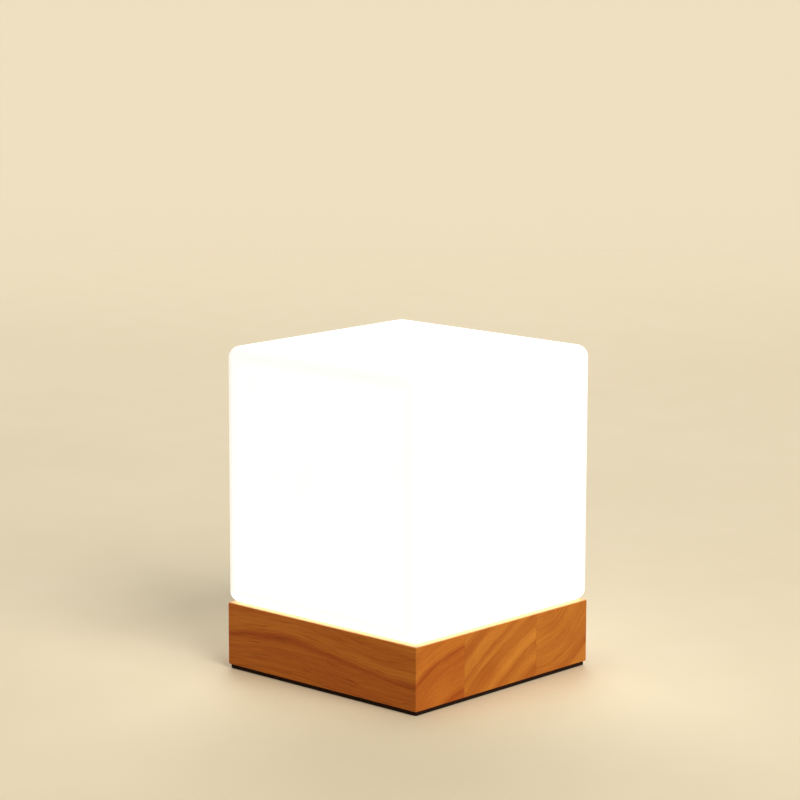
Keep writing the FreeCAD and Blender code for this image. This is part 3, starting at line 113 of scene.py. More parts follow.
# Marks on the rocker
ROCKER_PIVOT_OUT = 0.3 * MM      # from the rear face of the wood to the pivot
ROCKER_RISE = 1.4 * MM           # from the pivot to the middle of the rocker face
ROCKER_TILT = math.radians(9.0)
MARK_FROM_MIDDLE = 4.2 * MM
MARK_PROUD = 0.03 * MM
MARK_SUNK = 0.02 * MM
BAR_LENGTH = 3.6 * MM
BAR_WIDTH = 0.75 * MM
BAR_ROUND_SHARE = 0.45           # of its width
BAR_ROUND_STEPS = 6
RING_R = 1.75 * MM
RING_WIDTH = 0.6 * MM
RING_SIDES = 64

# Shared effects
NOISE_LOW = 0.3          # a noise seldom leaves this range
NOISE_MIDDLE = 0.5
NOISE_HIGH = 0.7
PATCH_DETAIL = 3.0       # of the noise behind soft patches and stains
MOTTLE_PATCH_WEIGHT = 0.65
MOTTLE_GRAIN_WEIGHT = 0.35
LATHE_LINE_WEIGHT = 0.5
LATHE_STAIN_WEIGHT = 0.5
LATHE_STAIN_PER_MM = 0.16
GLOW_CLOUD_PER_MM = 0.03
GLOW_CLOUD_DEPTH = 0.08
GLOW_EDGE_START = 0.86   # share of the half size at which an edge begins to dim

# Wood: three boards glued side by side, their grain along X
GLUE_WIDTH = 0.35
HEART_WAVE = 4.7         # the heart lines rise and fall by this along X
HEART_WAVE_LENGTH = 190.0
HEART_WAVE_CREST_X = -30.0
# Each board: the Y at which it begins, the Y and Z of its heart, and its clearest rings.
# A ring, as read on the right side, is its distance from the heart and its tone from 0, the palest, to 1.
BOARDS = (
    (-75.0, -29.0, -42.5, (
        (38.0, 0.5), (50.0, 1.0), (54.0, 0.3), (60.0, 0.45), (66.0, 0.55), (69.0, 0.7), (71.0, 0.5),
        (73.0, 0.55), (75.0, 1.0), (77.0, 0.4), (79.0, 0.1), (84.0, 0.25), (89.0, 0.45), (92.0, 0.2),
        (97.0, 0.4))),
    (-34.5, 140.0, -212.0, (
        (234.0, 0.3), (246.0, 0.85), (253.0, 0.2), (260.0, 0.8), (264.0, 0.0), (271.0, 0.7), (277.0, 0.75),
        (279.0, 0.2), (283.0, 0.7), (286.0, 0.15), (290.0, 0.15), (295.0, 0.95), (299.0, 0.75), (302.0, 0.3),
        (310.0, 0.6))),
    (28.8, 30.0, 61.0, (
        (14.0, 0.35), (24.0, 0.5), (27.0, 0.4), (35.0, 0.55), (38.0, 0.2), (46.0, 0.6), (51.0, 0.4),
        (55.0, 0.6), (57.0, 0.4), (62.0, 0.95), (67.0, 0.1), (78.0, 0.5))),
)
PALE_WOOD = (215, 138, 47)
DARK_WOOD = (161, 73, 10)
PORE_WOOD = (112, 48, 8)
# The next pale tone is painted light: a pool of light from the shade on the rim of the top, and a highlight
# along the upright edges
PAINTED_LIGHT_WOOD = (214, 160, 106)
FRONT_BOARD_AND_BOUNCE_TINT = (0.96, 0.84, 0.75, 1.0)     # the board along the front side is redder than the others, partly its own wood and partly painted warm bounce light on the front side
# Patterns: steps per mm in three directions, then the detail and the roughness of the noise.
# Pores and fine lines go along X, out from the heart and along Y, and the others along X, Y and Z.
PORES = ((0.05, 1.1, 0.2), 2.0)
FINE_LINES = ((0.01, 0.99, 0.05), 4.0, 0.65)
FIBRES = ((0.014, 0.9, 0.9), 4.0, 0.6)
PATCHES = ((0.012, 0.03, 0.03), 1.0)
SPECKS = ((0.09, 2.4, 2.4), 2.0)
RIPPLE = ((0.03, 0.06, 0.08), 2.0)
RIPPLE_DEPTH = 0.6       # the ripple moves the rings in and out by this
PORE_FROM = 0.57         # noise at which a pore begins, and at which it is full
PORE_TO = 0.72
# A zone is two depths under a face, between which its mask sets in
END_ZONE = (0.6, 0.1)
EDGE_ZONE = (0.9, 0.3)
TOP_ZONE = (0.6, 0.2)
# How much each pattern darkens the wood. Fibres and pores count for less on the two end faces.
RING_WEIGHT = 0.62
DARK_AT_LEFT = 0.32
DARK_AT_RIGHT = 0.2
FINE_WEIGHT = 0.9
FIBRE_WEIGHT = 0.65
FIBRE_END_WEIGHT = 0.35
PATCH_WEIGHT = 0.55
SPECK_WEIGHT = 0.5
PORE_WEIGHT = 0.42
PORE_END_WEIGHT = 0.1
SEAM_WEIGHT = 0.2
# Painted light: a painted highlight along the upright edges, and a painted pool of light from the shade on
# the rim of the top
EDGE_HIGHLIGHT_WEIGHT = 0.04
LIT_RIM_WEIGHT = 0.84
LIT_RIM_FROM = 60.0        # from the middle of the base to where the painted pool of light begins
LIT_RIM_TO = 70.0
WOOD_SPECULAR = 0.16
WOOD_SMOOTH = 0.42
WOOD_ROUGH = 0.54
PORE_ROUGH = 0.15
FIBRE_RELIEF_SHARE = 0.4
WOOD_RELIEF = 0.03

# Opal glass and the globe of the bulb
OPAL_LIGHT = (229, 228, 224)
OPAL_DARK = (221, 220, 215)
OPAL_PATCH = 30.0
OPAL_GRAIN = 2.2
OPAL_RELIEF = 0.02
OPAL_IOR = 1.5
OPAL_ROUGH_SPREAD = 0.05
SHADE_ROUGH = 0.3
SHADE_STRENGTH = 3.0
SHADE_BRIGHT = (0.225, 0.23, 0.243, 1.0)
SHADE_EDGE = (0.186, 0.186, 0.173, 1.0)
SHADE_FOOT = (1.0, 0.97, 0.92, 1.0)
SHADE_FOOT_FROM = 0.5
SHADE_FOOT_TO = 7.0
GLOBE_ROUGH = 0.4
GLOBE_STRENGTH = 0.7
GLOBE_BRIGHT = (1.0, 1.0, 0.97, 1.0)
GLOBE_EDGE = (0.8, 0.78, 0.7, 1.0)
GLOBE_FOOT = (0.6, 0.5, 0.3, 1.0)
GLOBE_FOOT_TO = 7.0

# Foam
FOAM_DARK = (26, 12, 7)
FOAM_LIGHT = (50, 29, 20)
FOAM_CELLS_PER_MM = 1.6
FOAM_PATCH_PER_MM = 0.2
FOAM_CELL_FROM = 0.1
FOAM_CELL_TO = 0.6
FOAM_ROUGH = 0.95
FOAM_SMOOTH = 0.75
FOAM_SPECULAR = 0.1
FOAM_RELIEF = 0.15

# Moulded, cast and extruded finishes: light tone, dark tone, patch, grain, least and most roughness, relief
PLASTICS = {
    "black_sheet": ((44, 43, 43), (34, 33, 33), 9.0, 0.4, 0.45, 0.6, 0.03),
    "clear_silicone": ((208, 209, 203), (186, 187, 180), 6.0, 0.6, 0.35, 0.5, 0.01),
    "white_enamel": ((226, 225, 221), (213, 212, 207), 14.0, 1.6, 0.18, 0.3, 0.012),
    "holder_plastic": ((234, 231, 222), (222, 218, 207), 10.0, 0.35, 0.35, 0.5, 0.015),
    "white_ceramic": ((242, 238, 228), (228, 222, 210), 4.0, 0.3, 0.5, 0.7, 0.03),
    "dark_glass": ((36, 36, 42), (22, 22, 27), 3.0, 0.6, 0.06, 0.16, 0.004),
    "bulb_plastic": ((247, 247, 245), (238, 238, 235), 10.0, 0.4, 0.32, 0.46, 0.012),
    "board_white": ((246, 246, 243), (234, 234, 229), 4.0, 0.3, 0.3, 0.42, 0.006),
    "led_phosphor": ((250, 214, 96), (240, 190, 60), 1.0, 0.2, 0.45, 0.6, 0.02),
    "board_green": ((38, 124, 68), (24, 96, 50), 4.0, 0.3, 0.3, 0.42, 0.006),
    "dark_component": ((56, 56, 62), (40, 40, 46), 2.0, 0.25, 0.4, 0.6, 0.02),
    "black_rubber": ((42, 41, 40), (30, 29, 28), 5.0, 0.3, 0.55, 0.75, 0.02),
    "natural_nylon": ((240, 237, 224), (228, 224, 208), 6.0, 0.4, 0.35, 0.5, 0.015),
    "black_nylon": ((44, 44, 45), (32, 32, 33), 6.0, 0.28, 0.42, 0.58, 0.025),
    "black_gloss": ((38, 38, 39), (28, 28, 29), 6.0, 0.5, 0.12, 0.22, 0.004),
    "brown_sheath": ((126, 78, 46), (108, 64, 36), 6.0, 0.4, 0.3, 0.42, 0.008),
    "black_sheath": ((44, 44, 45), (32, 32, 33), 6.0, 0.4, 0.3, 0.42, 0.008),
    "blue_sheath": ((60, 118, 196), (44, 98, 176), 6.0, 0.4, 0.3, 0.42, 0.008),
}
PLASTIC_EXTRAS = {
    "clear_silicone": {"Subsurface_Weight": 0.3, "IOR": 1.41},
    "white_enamel": {"Coat_Weight": 0.4, "Coat_Roughness": 0.12},
}
MARK_ROW = ((240, 240, 238), (222, 222, 220), 1.5, 0.2, 0.35, 0.5, 0.004)     # white print on the rocker

# Plated and rolled metals, in the same order, with the stretch of the mottle where it has one
PLATED_METALS = {
    "zinc_steel": ((214, 217, 222), (194, 196, 196), 3.0, 0.4, 0.25, 0.38, 0.002),
    "spring_steel": ((208, 209, 213), (188, 188, 192), 6.0, 0.8, 0.2, 0.3, 0.0015, (1.0, 1.0, 0.1)),
    "copper": ((226, 158, 118), (200, 128, 88), 2.0, 0.2, 0.25, 0.4, 0.006),
    "solder": ((206, 206, 208), (182, 182, 184), 1.2, 0.2, 0.2, 0.38, 0.01),
}

# Turned and drawn metals: light tone, dark tone, pitch of the lines, least and most roughness, relief
TURNED_METALS = {
    "brass": ((226, 192, 120), (200, 160, 88), 0.3, 0.18, 0.36, 0.006),
    "nickel": ((222, 219, 212), (200, 196, 186), 0.3, 0.16, 0.32, 0.005),
}


def srgb(red, green, blue):
    """Colour from its usual 0 to 255 values."""
    def linear(value):
        share = value / 255
        return share / 12.92 if share <= 0.04045 else ((share + 0.055) / 1.055) ** 2.4
    return (linear(red), linear(green), linear(blue), 1.0)


# Modelling calls

def deselect_all():
    """Object mode with nothing selected."""
    if bpy.context.object is not None and bpy.context.object.mode != "OBJECT":
        bpy.ops.object.mode_set(mode="OBJECT")
    bpy.ops.object.select_all(action="DESELECT")


def select_only(piece):
    """Object mode with one piece selected and active."""
    deselect_all()
    piece.select_set(True)
    bpy.context.view_layer.objects.active = piece


def take(name):
    """Names the primitive that was just added, and puts its place into its mesh."""
    piece = bpy.context.object
    piece.name = name
    piece.data.name = name
    bpy.ops.object.transform_apply(location=True, rotation=True, scale=True)
    return piece


def start_block(name, low, high):
    """Block between two corners."""
    deselect_all()
    bpy.ops.mesh.primitive_cube_add(size=1, location=(low + high) / 2)
    bpy.context.object.scale = high - low
    return take(name)


def pick(piece, kind, test):
    """Edit mode with the edges or faces selected that pass a test."""
    bpy.ops.object.mode_set(mode="EDIT")
    bpy.ops.mesh.select_mode(type=kind)
    bpy.ops.mesh.select_all(action="DESELECT")
    mesh = bmesh.from_edit_mesh(piece.data)
    for part in (mesh.edges if kind == "EDGE" else mesh.faces):
        if test(part):
            part.select_set(True)
    mesh.select_flush_mode()
    bmesh.update_edit_mesh(piece.data)


def round_edges(piece, test, radius, segments):
    """Bevels the edges that pass a test."""
    pick(piece, "EDGE", test)
    bpy.ops.mesh.bevel(offset=radius, segments=segments, profile=ROUND_PROFILE, affect="EDGES")
    bpy.ops.object.mode_set(mode="OBJECT")


def middle(edge):
    """Point half way along an edge."""
    return (edge.verts[0].co + edge.verts[1].co) / 2


def run(edge):
    """Direction of an edge."""
    return (edge.verts[1].co - edge.verts[0].co).normalized()


def from_y_axis(offset):
    """Offset without its part along Y."""
    return Vector((offset.x, 0, offset.z))


def smooth(piece):
    """Smooth shading that keeps the sharp edges."""
    select_only(piece)
    bpy.ops.object.shade_smooth_by_angle(angle=SHARP_ANGLE)


def dress(piece, body, slot, *nodes, finish=None):
    """Gives a new piece its finish and its body, in the place of the nodes that it stands for."""
    piece.data.materials.clear()
    piece.data.materials.append(finish or FINISHES[slot])
    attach(piece, body)
    if nodes:
        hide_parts(*nodes)


def apply_modifier(piece, kind, **settings):
    """Adds a modifier and applies it."""
    select_only(piece)
    modifier = piece.modifiers.new(kind.lower(), kind)
    for name, value in settings.items():
        setattr(modifier, name, value)
    bpy.ops.object.modifier_apply(modifier=modifier.name)


# Shader calls

class Paint:
    """Adds and links the nodes of one shader tree."""

    def __init__(self, tree):
        self.tree = tree

    def add(self, kind, **settings):
        """New node with its settings."""
        node = self.tree.nodes.new(kind)
        for name, value in settings.items():
            setattr(node, name, value)
        return node

    def feed(self, socket, value):
        """Links an output to a socket, or sets the socket to a plain value."""
        if isinstance(value, bpy.types.NodeSocket):
            self.tree.links.new(value, socket)
        else:
            socket.default_value = value

    def fill(self, node, values):
        """Feeds several inputs of a node."""
        for key, value in values.items():
            self.feed(node.inputs[key], value)
        return node

    def math(self, operation, *values, clamp=False):
        """Number from other numbers."""
        node = self.add("ShaderNodeMath", operation=operation, use_clamp=clamp)
        return self.fill(node, dict(enumerate(values))).outputs[0]

    def weigh(self, *pairs):
        """Sum of values, each times its weight."""
        total = 0.0
        for value, weight in pairs:
            total = self.math("MULTIPLY_ADD", value, weight, total)
        return total

    def vector(self, operation, *values):
        """Vector from other vectors, or their length."""
        node = self.add("ShaderNodeVectorMath", operation=operation)
        self.fill(node, dict(enumerate(values)))
        return node.outputs["Value" if operation == "LENGTH" else "Vector"]

    def place(self):
        """Object coordinates in millimetres."""
        return self.vector("MULTIPLY", self.add("ShaderNodeTexCoord").outputs["Object"], (1 / MM,) * 3)

    def split(self, vector):
        """X, Y and Z of a vector."""
        return self.fill(self.add("ShaderNodeSeparateXYZ"), {0: vector}).outputs

    def join(self, *values):
        """Vector from its X, Y and Z."""
        return self.fill(self.add("ShaderNodeCombineXYZ"), dict(enumerate(values))).outputs[0]

    def noise(self, vector, scale, detail=2.0, roughness=0.5):
        """Soft noise from about 0.3 to 0.7."""
        node = self.add("ShaderNodeTexNoise")
        return self.fill(node, {"Vector": vector, "Scale": scale, "Detail": detail,
                                "Roughness": roughness}).outputs[0]

    def drawn_noise(self, vector, steps, detail, roughness=0.5):
        """Noise with its own number of steps in each direction."""
        return self.noise(self.vector("MULTIPLY", vector, steps), 1.0, detail, roughness)

    def cells(self, vector, scale):
        """Distance from the middle of the nearest cell."""
        node = self.add("ShaderNodeTexVoronoi")
        return self.fill(node, {"Vector": vector, "Scale": scale}).outputs["Distance"]

    def remap(self, value, low, high, to_low, to_high, interpolation="LINEAR"):
        """Number carried from one range to another, and held at its ends."""
        node = self.add("ShaderNodeMapRange", interpolation_type=interpolation)
        return self.fill(node, {"Value": value, "From Min": low, "From Max": high, "To Min": to_low,
                                "To Max": to_high}).outputs[0]

    def spread(self, noise, to_low, to_high):
        """Noise carried to a range of its own."""
        return self.remap(noise, NOISE_LOW, NOISE_HIGH, to_low, to_high)

    def rise(self, value, low, high):
        """Mask that grows softly from 0 to 1."""
        return self.remap(value, low, high, 0.0, 1.0, "SMOOTHSTEP")

    def fall(self, value, low, high):
        """Mask that shrinks softly from 1 to 0."""
        return self.remap(value, low, high, 1.0, 0.0, "SMOOTHSTEP")

    def blend(self, share, first, second, mode="MIX"):
        """Colour that goes from the first to the second."""
        node = self.add("ShaderNodeMix", data_type="RGBA", blend_type=mode)
        self.feed(node.inputs[0], share)
        self.feed(node.inputs[6], first)
        self.feed(node.inputs[7], second)
        return node.outputs[2]

    def either(self, share, first, second):
        """Number that goes from the first to the second."""
        node = self.add("ShaderNodeMix", data_type="FLOAT")
        self.feed(node.inputs[0], share)
        self.feed(node.inputs[2], first)
        self.feed(node.inputs[3], second)
        return node.outputs[0]

    def ramp(self, value, stops):
        """Grey level along a ramp of (position, level) stops."""
        node = self.add("ShaderNodeValToRGB")
        elements = node.color_ramp.elements
        elements[0].position, elements[1].position = stops[0][0], stops[-1][0]
        elements[0].color = (stops[0][1],) * 3 + (1.0,)
        elements[-1].color = (stops[-1][1],) * 3 + (1.0,)
        for position, level in stops[1:-1]:
            elements.new(position).color = (level,) * 3 + (1.0,)
        return self.fill(node, {0: value}).outputs[0]

    def group(self, tree, **values):
        """Outputs of a node group with its inputs fed."""
        node = self.add("ShaderNodeGroup", node_tree=tree)
        return self.fill(node, {name.replace("_", " "): value for name, value in values.items()}).outputs

    def bump(self, height, depth_mm):
        """Normal that follows a height from 0 to 1."""
        node = self.add("ShaderNodeBump")
        return self.fill(node, {"Height": height, "Distance": depth_mm * MM, "Strength": 1.0}).outputs[0]

    def cover(self, shader, skin, depth_mm):
        """Feeds a shader from a group that gives colour, roughness and height."""
        self.fill(shader, {"Base Color": skin["Colour"], "Roughness": skin["Roughness"],
                           "Normal": self.bump(skin["Height"], depth_mm)})


SOCKETS = {float: "NodeSocketFloat", tuple: "NodeSocketColor", Vector: "NodeSocketVector"}
SKIN = {"Colour": tuple, "Roughness": float, "Height": float}
WHITE = (1.0, 1.0, 1.0, 1.0)
GREY = (0.8, 0.8, 0.8, 1.0)


def new_group(name, inputs, outputs):
    """Node group, its paint, the sockets that come in and the node that they leave by."""
    tree = bpy.data.node_groups.new(name, "ShaderNodeTree")
    for label, default in inputs.items():
        socket = tree.interface.new_socket(label, in_out="INPUT", socket_type=SOCKETS[type(default)])
        socket.default_value = default
    for label, kind in outputs.items():
        tree.interface.new_socket(label, in_out="OUTPUT", socket_type=SOCKETS[kind])
    paint = Paint(tree)
    given = paint.add("NodeGroupInput").outputs
    return tree, paint, given, paint.add("NodeGroupOutput")


def new_finish(name, **plain):
    """Material, its paint and its shader, with the shader's plain values set."""
    material = bpy.data.materials.new(name + "_finish")
    material.use_nodes = True
    shader = material.node_tree.nodes["Principled BSDF"]
    paint = Paint(material.node_tree)
    paint.fill(shader, {key.replace("_", " "): value for key, value in plain.items()})
    return material, paint, shader


def close_skin(paint, given, out, level, height):
    """Ends a group that lays two tones and two grades of gloss by one level."""
    share = paint.spread(level, 0.0, 1.0)
    paint.fill(out, {"Colour": paint.blend(share, given["Light"], given["Dark"]),
                     "Roughness": paint.spread(level, given["Smooth"], given["Rough"]), "Height": height})


def make_mottle():
    """Surface that is never quite even: soft patches of two tones, a finer grain and a varying gloss."""
    inputs = {"Light": WHITE, "Dark": GREY, "Patch": 8.0, "Grain": 0.5, "Smooth": 0.3, "Rough": 0.5,
              "Stretch": Vector((1.0, 1.0, 1.0))}
    tree, paint, given, out = new_group("mottle", inputs, SKIN)
    place = paint.vector("MULTIPLY", paint.place(), given["Stretch"])
    patch = paint.noise(place, paint.math("DIVIDE", 1.0, given["Patch"]), PATCH_DETAIL)
    grain = paint.noise(place, paint.math("DIVIDE", 1.0, given["Grain"]))
    level = paint.weigh((patch, MOTTLE_PATCH_WEIGHT), (grain, MOTTLE_GRAIN_WEIGHT))
    close_skin(paint, given, out, level, grain)
    return tree


def make_lathe():
    """Fine rings of a piece that was turned or drawn round the Z axis."""
    inputs = {"Light": WHITE, "Dark": GREY, "Pitch": 0.25, "Smooth": 0.2, "Rough": 0.4}
    tree, paint, given, out = new_group("lathe", inputs, SKIN)
    place = paint.place()
    x, y, z = paint.split(place)
    radius = paint.vector("LENGTH", paint.join(x, y, 0.0))
    lines = paint.noise(paint.join(radius, 0.0, z), paint.math("DIVIDE", 1.0, given["Pitch"]))
    stain = paint.noise(place, LATHE_STAIN_PER_MM, PATCH_DETAIL)
    level = paint.weigh((lines, LATHE_LINE_WEIGHT), (stain, LATHE_STAIN_WEIGHT))
    close_skin(paint, given, out, level, lines)
    return tree


def make_glow():
    """Light through an opal wall: even on the faces, dimmer along the edges, another colour at the foot."""
    inputs = {"Bright": WHITE, "Edge": GREY, "Foot": WHITE, "Middle": Vector((0.0, 0.0, 0.0)),
              "Half": Vector((1.0, 1.0, 1.0)), "Edge Start": 0.85, "Foot Z": 0.0, "Foot Top Z": 1.0}
    tree, paint, given, out = new_group("glow", inputs, {"Colour": tuple})
    place = paint.place()
    offset = paint.vector("ABSOLUTE", paint.vector("SUBTRACT", place, given["Middle"]))
    x, y, z = paint.split(paint.vector("DIVIDE", offset, given["Half"]))
    # Only along an edge are two of the three shares close to 1, so the second largest one tells
    second = paint.math("MAXIMUM", paint.math("MINIMUM", x, y),
                        paint.math("MINIMUM", paint.math("MAXIMUM", x, y), z))
    edge = paint.rise(second, given["Edge Start"], 1.0)
    cloud = paint.spread(paint.noise(place, GLOW_CLOUD_PER_MM), 0.0, GLOW_CLOUD_DEPTH)
    colour = paint.blend(paint.math("ADD", edge, cloud, clamp=True), given["Bright"], given["Edge"])
    foot = paint.fall(paint.split(place)[2], given["Foot Z"], given["Foot Top Z"])
    paint.feed(out.inputs["Colour"], paint.blend(foot, colour, given["Foot"]))
    return tree


def make_growth_rings():
    """Distance from the heart line of a tree, which runs along X and rises and falls."""
    inputs = {"Place": Vector((0.0, 0.0, 0.0)), "Heart Y": 0.0, "Heart Z": 0.0}
    tree, paint, given, out = new_group("growth_rings", inputs, {"Distance": float})
    x, y, z = paint.split(given["Place"])
    from_crest = paint.math("SUBTRACT", x, HEART_WAVE_CREST_X)
    wave = paint.math("COSINE", paint.math("MULTIPLY", from_crest, FULL_TURN / HEART_WAVE_LENGTH))
    rise = paint.math("MULTIPLY_ADD", wave, HEART_WAVE, HEART_WAVE)
    across = paint.math("SUBTRACT", y, given["Heart Y"])
    above = paint.math("SUBTRACT", z, paint.math("ADD", given["Heart Z"], rise))
    distance = paint.vector("LENGTH", paint.join(0.0, across, above))
    ripple = paint.spread(paint.drawn_noise(given["Place"], *RIPPLE), -RIPPLE_DEPTH, RIPPLE_DEPTH)
    paint.feed(out.inputs["Distance"], paint.math("ADD", distance, ripple))
    return tree


def ring_tone(paint, distance, rings):
    """Tone at a distance from the heart, from a table of rings."""
    first, last = rings[0][0], rings[-1][0]
    stops = [((place - first) / (last - first), tone) for place, tone in rings]
    return paint.ramp(paint.remap(distance, first, last, 0.0, 1.0), stops)


def glue_boards(paint, place):
    """Distance from the heart, tone of the ring, and a mask of the glue lines between the boards."""
    rings = make_growth_rings()
    y = paint.split(place)[1]
    distance = tone = None
    seam = 0.0
    for begins, heart_y, heart_z, table in BOARDS:
        board_distance = paint.group(rings, Place=place, Heart_Y=heart_y, Heart_Z=heart_z)["Distance"]
        board_tone = ring_tone(paint, board_distance, table)
        if tone is None:
            distance, tone = board_distance, board_tone
            continue
        within = paint.math("GREATER_THAN", y, begins)
        distance = paint.either(within, distance, board_distance)
        tone = paint.either(within, tone, board_tone)
        from_joint = paint.math("ABSOLUTE", paint.math("SUBTRACT", y, begins))
        seam = paint.math("MAXIMUM", seam, paint.fall(from_joint, 0.0, GLUE_WIDTH))
    return distance, tone, seam


def painted_light_places(paint, x, y, z):
    """Masks of the painted highlight along the upright edges and of the painted pool of light on the rim of
    the top.
    """
    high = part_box("wood_base")[1] / MM
    sides = [paint.math("ABSOLUTE", value) for value in (x, y)]
    edges = [paint.rise(side, *(high.x - inset for inset in EDGE_ZONE)) for side in sides]
    rim = paint.rise(paint.math("MAXIMUM", *sides), LIT_RIM_FROM, LIT_RIM_TO)
    top = paint.rise(z, *(high.z - inset for inset in TOP_ZONE))
    return paint.math("MULTIPLY", *edges), paint.math("MULTIPLY", rim, top)


def make_wood():
    """Oiled wood, glued up from three boards."""
    material, paint, shader = new_finish("warm_wood", Specular_IOR_Level=WOOD_SPECULAR)
    low, high = (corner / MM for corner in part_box("wood_base"))
    place = paint.place()
    x, y, z = paint.split(place)
    distance, tone, seam = glue_boards(paint, place)
    layer = paint.join(x, distance, y)
    pore = paint.rise(paint.drawn_noise(layer, *PORES), PORE_FROM, PORE_TO)
    fibre = paint.drawn_noise(place, *FIBRES)
    end_grain = paint.rise(paint.math("ABSOLUTE", x), *(high.x - inset for inset in END_ZONE))

    dark = paint.math("MULTIPLY_ADD", tone, RING_WEIGHT,
                      paint.remap(x, low.x, high.x, DARK_AT_LEFT, DARK_AT_RIGHT))
    patterns = ((paint.drawn_noise(layer, *FINE_LINES), FINE_WEIGHT),
                (fibre, paint.either(end_grain, FIBRE_WEIGHT, FIBRE_END_WEIGHT)),
                (paint.drawn_noise(place, *PATCHES), PATCH_WEIGHT),
                (paint.drawn_noise(place, *SPECKS), SPECK_WEIGHT))
    for pattern, weight in patterns:
        dark = paint.math("MULTIPLY_ADD", paint.math("SUBTRACT", pattern, NOISE_MIDDLE), weight, dark)
    dark = paint.math("ADD", dark, 0.0, clamp=True)

    colour = paint.blend(dark, srgb(*PALE_WOOD), srgb(*DARK_WOOD))
    # The front board is tinted redder: partly its own wood, partly painted warm bounce light on the front
    # side
    front_board = paint.math("LESS_THAN", y, BOARDS[1][0])
    colour = paint.blend(front_board, colour, FRONT_BOARD_AND_BOUNCE_TINT, "MULTIPLY")
    # Painted light: a highlight along the upright edges and a pool of light from the shade on the rim of the
    # top
    upright, lit_rim = painted_light_places(paint, x, y, z)
    layers = ((pore, paint.either(end_grain, PORE_WEIGHT, PORE_END_WEIGHT), PORE_WOOD),
              (seam, SEAM_WEIGHT, PORE_WOOD), (upright, EDGE_HIGHLIGHT_WEIGHT, PAINTED_LIGHT_WOOD),
              (lit_rim, LIT_RIM_WEIGHT, PAINTED_LIGHT_WOOD))
    for mask, weight, tint in layers:
        colour = paint.blend(paint.math("MULTIPLY", mask, weight), colour, srgb(*tint))

    gloss = paint.math("MULTIPLY_ADD", pore, PORE_ROUGH, paint.spread(fibre, WOOD_SMOOTH, WOOD_ROUGH))
    relief = paint.math("SUBTRACT", paint.math("MULTIPLY", fibre, FIBRE_RELIEF_SHARE), pore)
    paint.fill(shader, {"Base Color": colour, "Roughness": gloss, "Normal": paint.bump(relief, WOOD_RELIEF)})
    return material


def lit_finish(name, rough, strength, **glow):
    """Opal wall with the lit bulb behind it."""
    material, paint, shader = new_finish(name, Emission_Strength=strength, IOR=OPAL_IOR)
    skin = paint.group(MOTTLE, Light=srgb(*OPAL_LIGHT), Dark=srgb(*OPAL_DARK), Patch=OPAL_PATCH,
                       Grain=OPAL_GRAIN, Smooth=rough - OPAL_ROUGH_SPREAD, Rough=rough + OPAL_ROUGH_SPREAD)
    paint.cover(shader, skin, OPAL_RELIEF)
    light = paint.group(GLOW, Edge_Start=GLOW_EDGE_START, **glow)["Colour"]
    paint.feed(shader.inputs["Emission Color"], light)
    return material


def make_opal_glass():
    """The lit shade."""
    low, high = (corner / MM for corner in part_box("glass_shade"))
    return lit_finish("opal_glass", SHADE_ROUGH, SHADE_STRENGTH, Bright=SHADE_BRIGHT, Edge=SHADE_EDGE,
                      Foot=SHADE_FOOT, Middle=(low + high) / 2, Half=(high - low) / 2,
                      Foot_Z=low.z + SHADE_FOOT_FROM, Foot_Top_Z=low.z + SHADE_FOOT_TO)


def make_bulb_globe():
    """The lit globe of the bulb, dimmer where it meets its housing."""
    low, high = (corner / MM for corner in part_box("bulb_diffuser"))
    # Its whole size stands for the half size, so that no place on the round globe counts as an edge
    return lit_finish("bulb_globe", GLOBE_ROUGH, GLOBE_STRENGTH, Bright=GLOBE_BRIGHT, Edge=GLOBE_EDGE,
                      Foot=GLOBE_FOOT, Middle=(low + high) / 2, Half=high - low, Foot_Z=low.z,
                      Foot_Top_Z=low.z + GLOBE_FOOT_TO)


def mottled_finish(name, light, dark, patch, grain, smoothest, roughest, depth_mm,
                   stretch=(1.0, 1.0, 1.0), **plain):
    """Finish whose tone, gloss and relief come from the mottle."""
    material, paint, shader = new_finish(name, **plain)
    skin = paint.group(MOTTLE, Light=srgb(*light), Dark=srgb(*dark), Patch=patch, Grain=grain,
                       Smooth=smoothest, Rough=roughest, Stretch=stretch)
    paint.cover(shader, skin, depth_mm)
    return material


def turned_finish(name, light, dark, pitch, smoothest, roughest, depth_mm):
    """Metal with fine rings round the Z axis."""
    material, paint, shader = new_finish(name, Metallic=1.0)
    skin = paint.group(LATHE, Light=srgb(*light), Dark=srgb(*dark), Pitch=pitch, Smooth=smoothest,
                       Rough=roughest)
    paint.cover(shader, skin, depth_mm)
    return material


def make_foam():
    """Black closed-cell foam: small dimples with paler rims."""
    material, paint, shader = new_finish("black_foam", Specular_IOR_Level=FOAM_SPECULAR)
    place = paint.place()
    cell = paint.cells(place, FOAM_CELLS_PER_MM)
    rim = paint.remap(cell, FOAM_CELL_FROM, FOAM_CELL_TO, 0.0, 1.0)
    pale = paint.math("MULTIPLY", rim, paint.noise(place, FOAM_PATCH_PER_MM))
    colour = paint.blend(pale, srgb(*FOAM_DARK), srgb(*FOAM_LIGHT))
    gloss = paint.remap(cell, FOAM_CELL_FROM, FOAM_CELL_TO, FOAM_ROUGH, FOAM_SMOOTH)
    paint.fill(shader, {"Base Color": colour, "Roughness": gloss, "Normal": paint.bump(cell, FOAM_RELIEF)})
    return material


def make_finishes():
    """Every finish by its material slot."""
    finishes = {"warm_wood": make_wood(), "black_foam": make_foam(), "opal_glass": make_opal_glass(),
                "bulb_globe": make_bulb_globe()}
    for slot, row in PLASTICS.items():
        finishes[slot] = mottled_finish(slot, *row, **PLASTIC_EXTRAS.get(slot, {}))
    for slot, row in PLATED_METALS.items():
        finishes[slot] = mottled_finish(slot, *row, Metallic=1.0)
    for slot, row in TURNED_METALS.items():
        finishes[slot] = turned_finish(slot, *row)
    return finishes


# Pieces

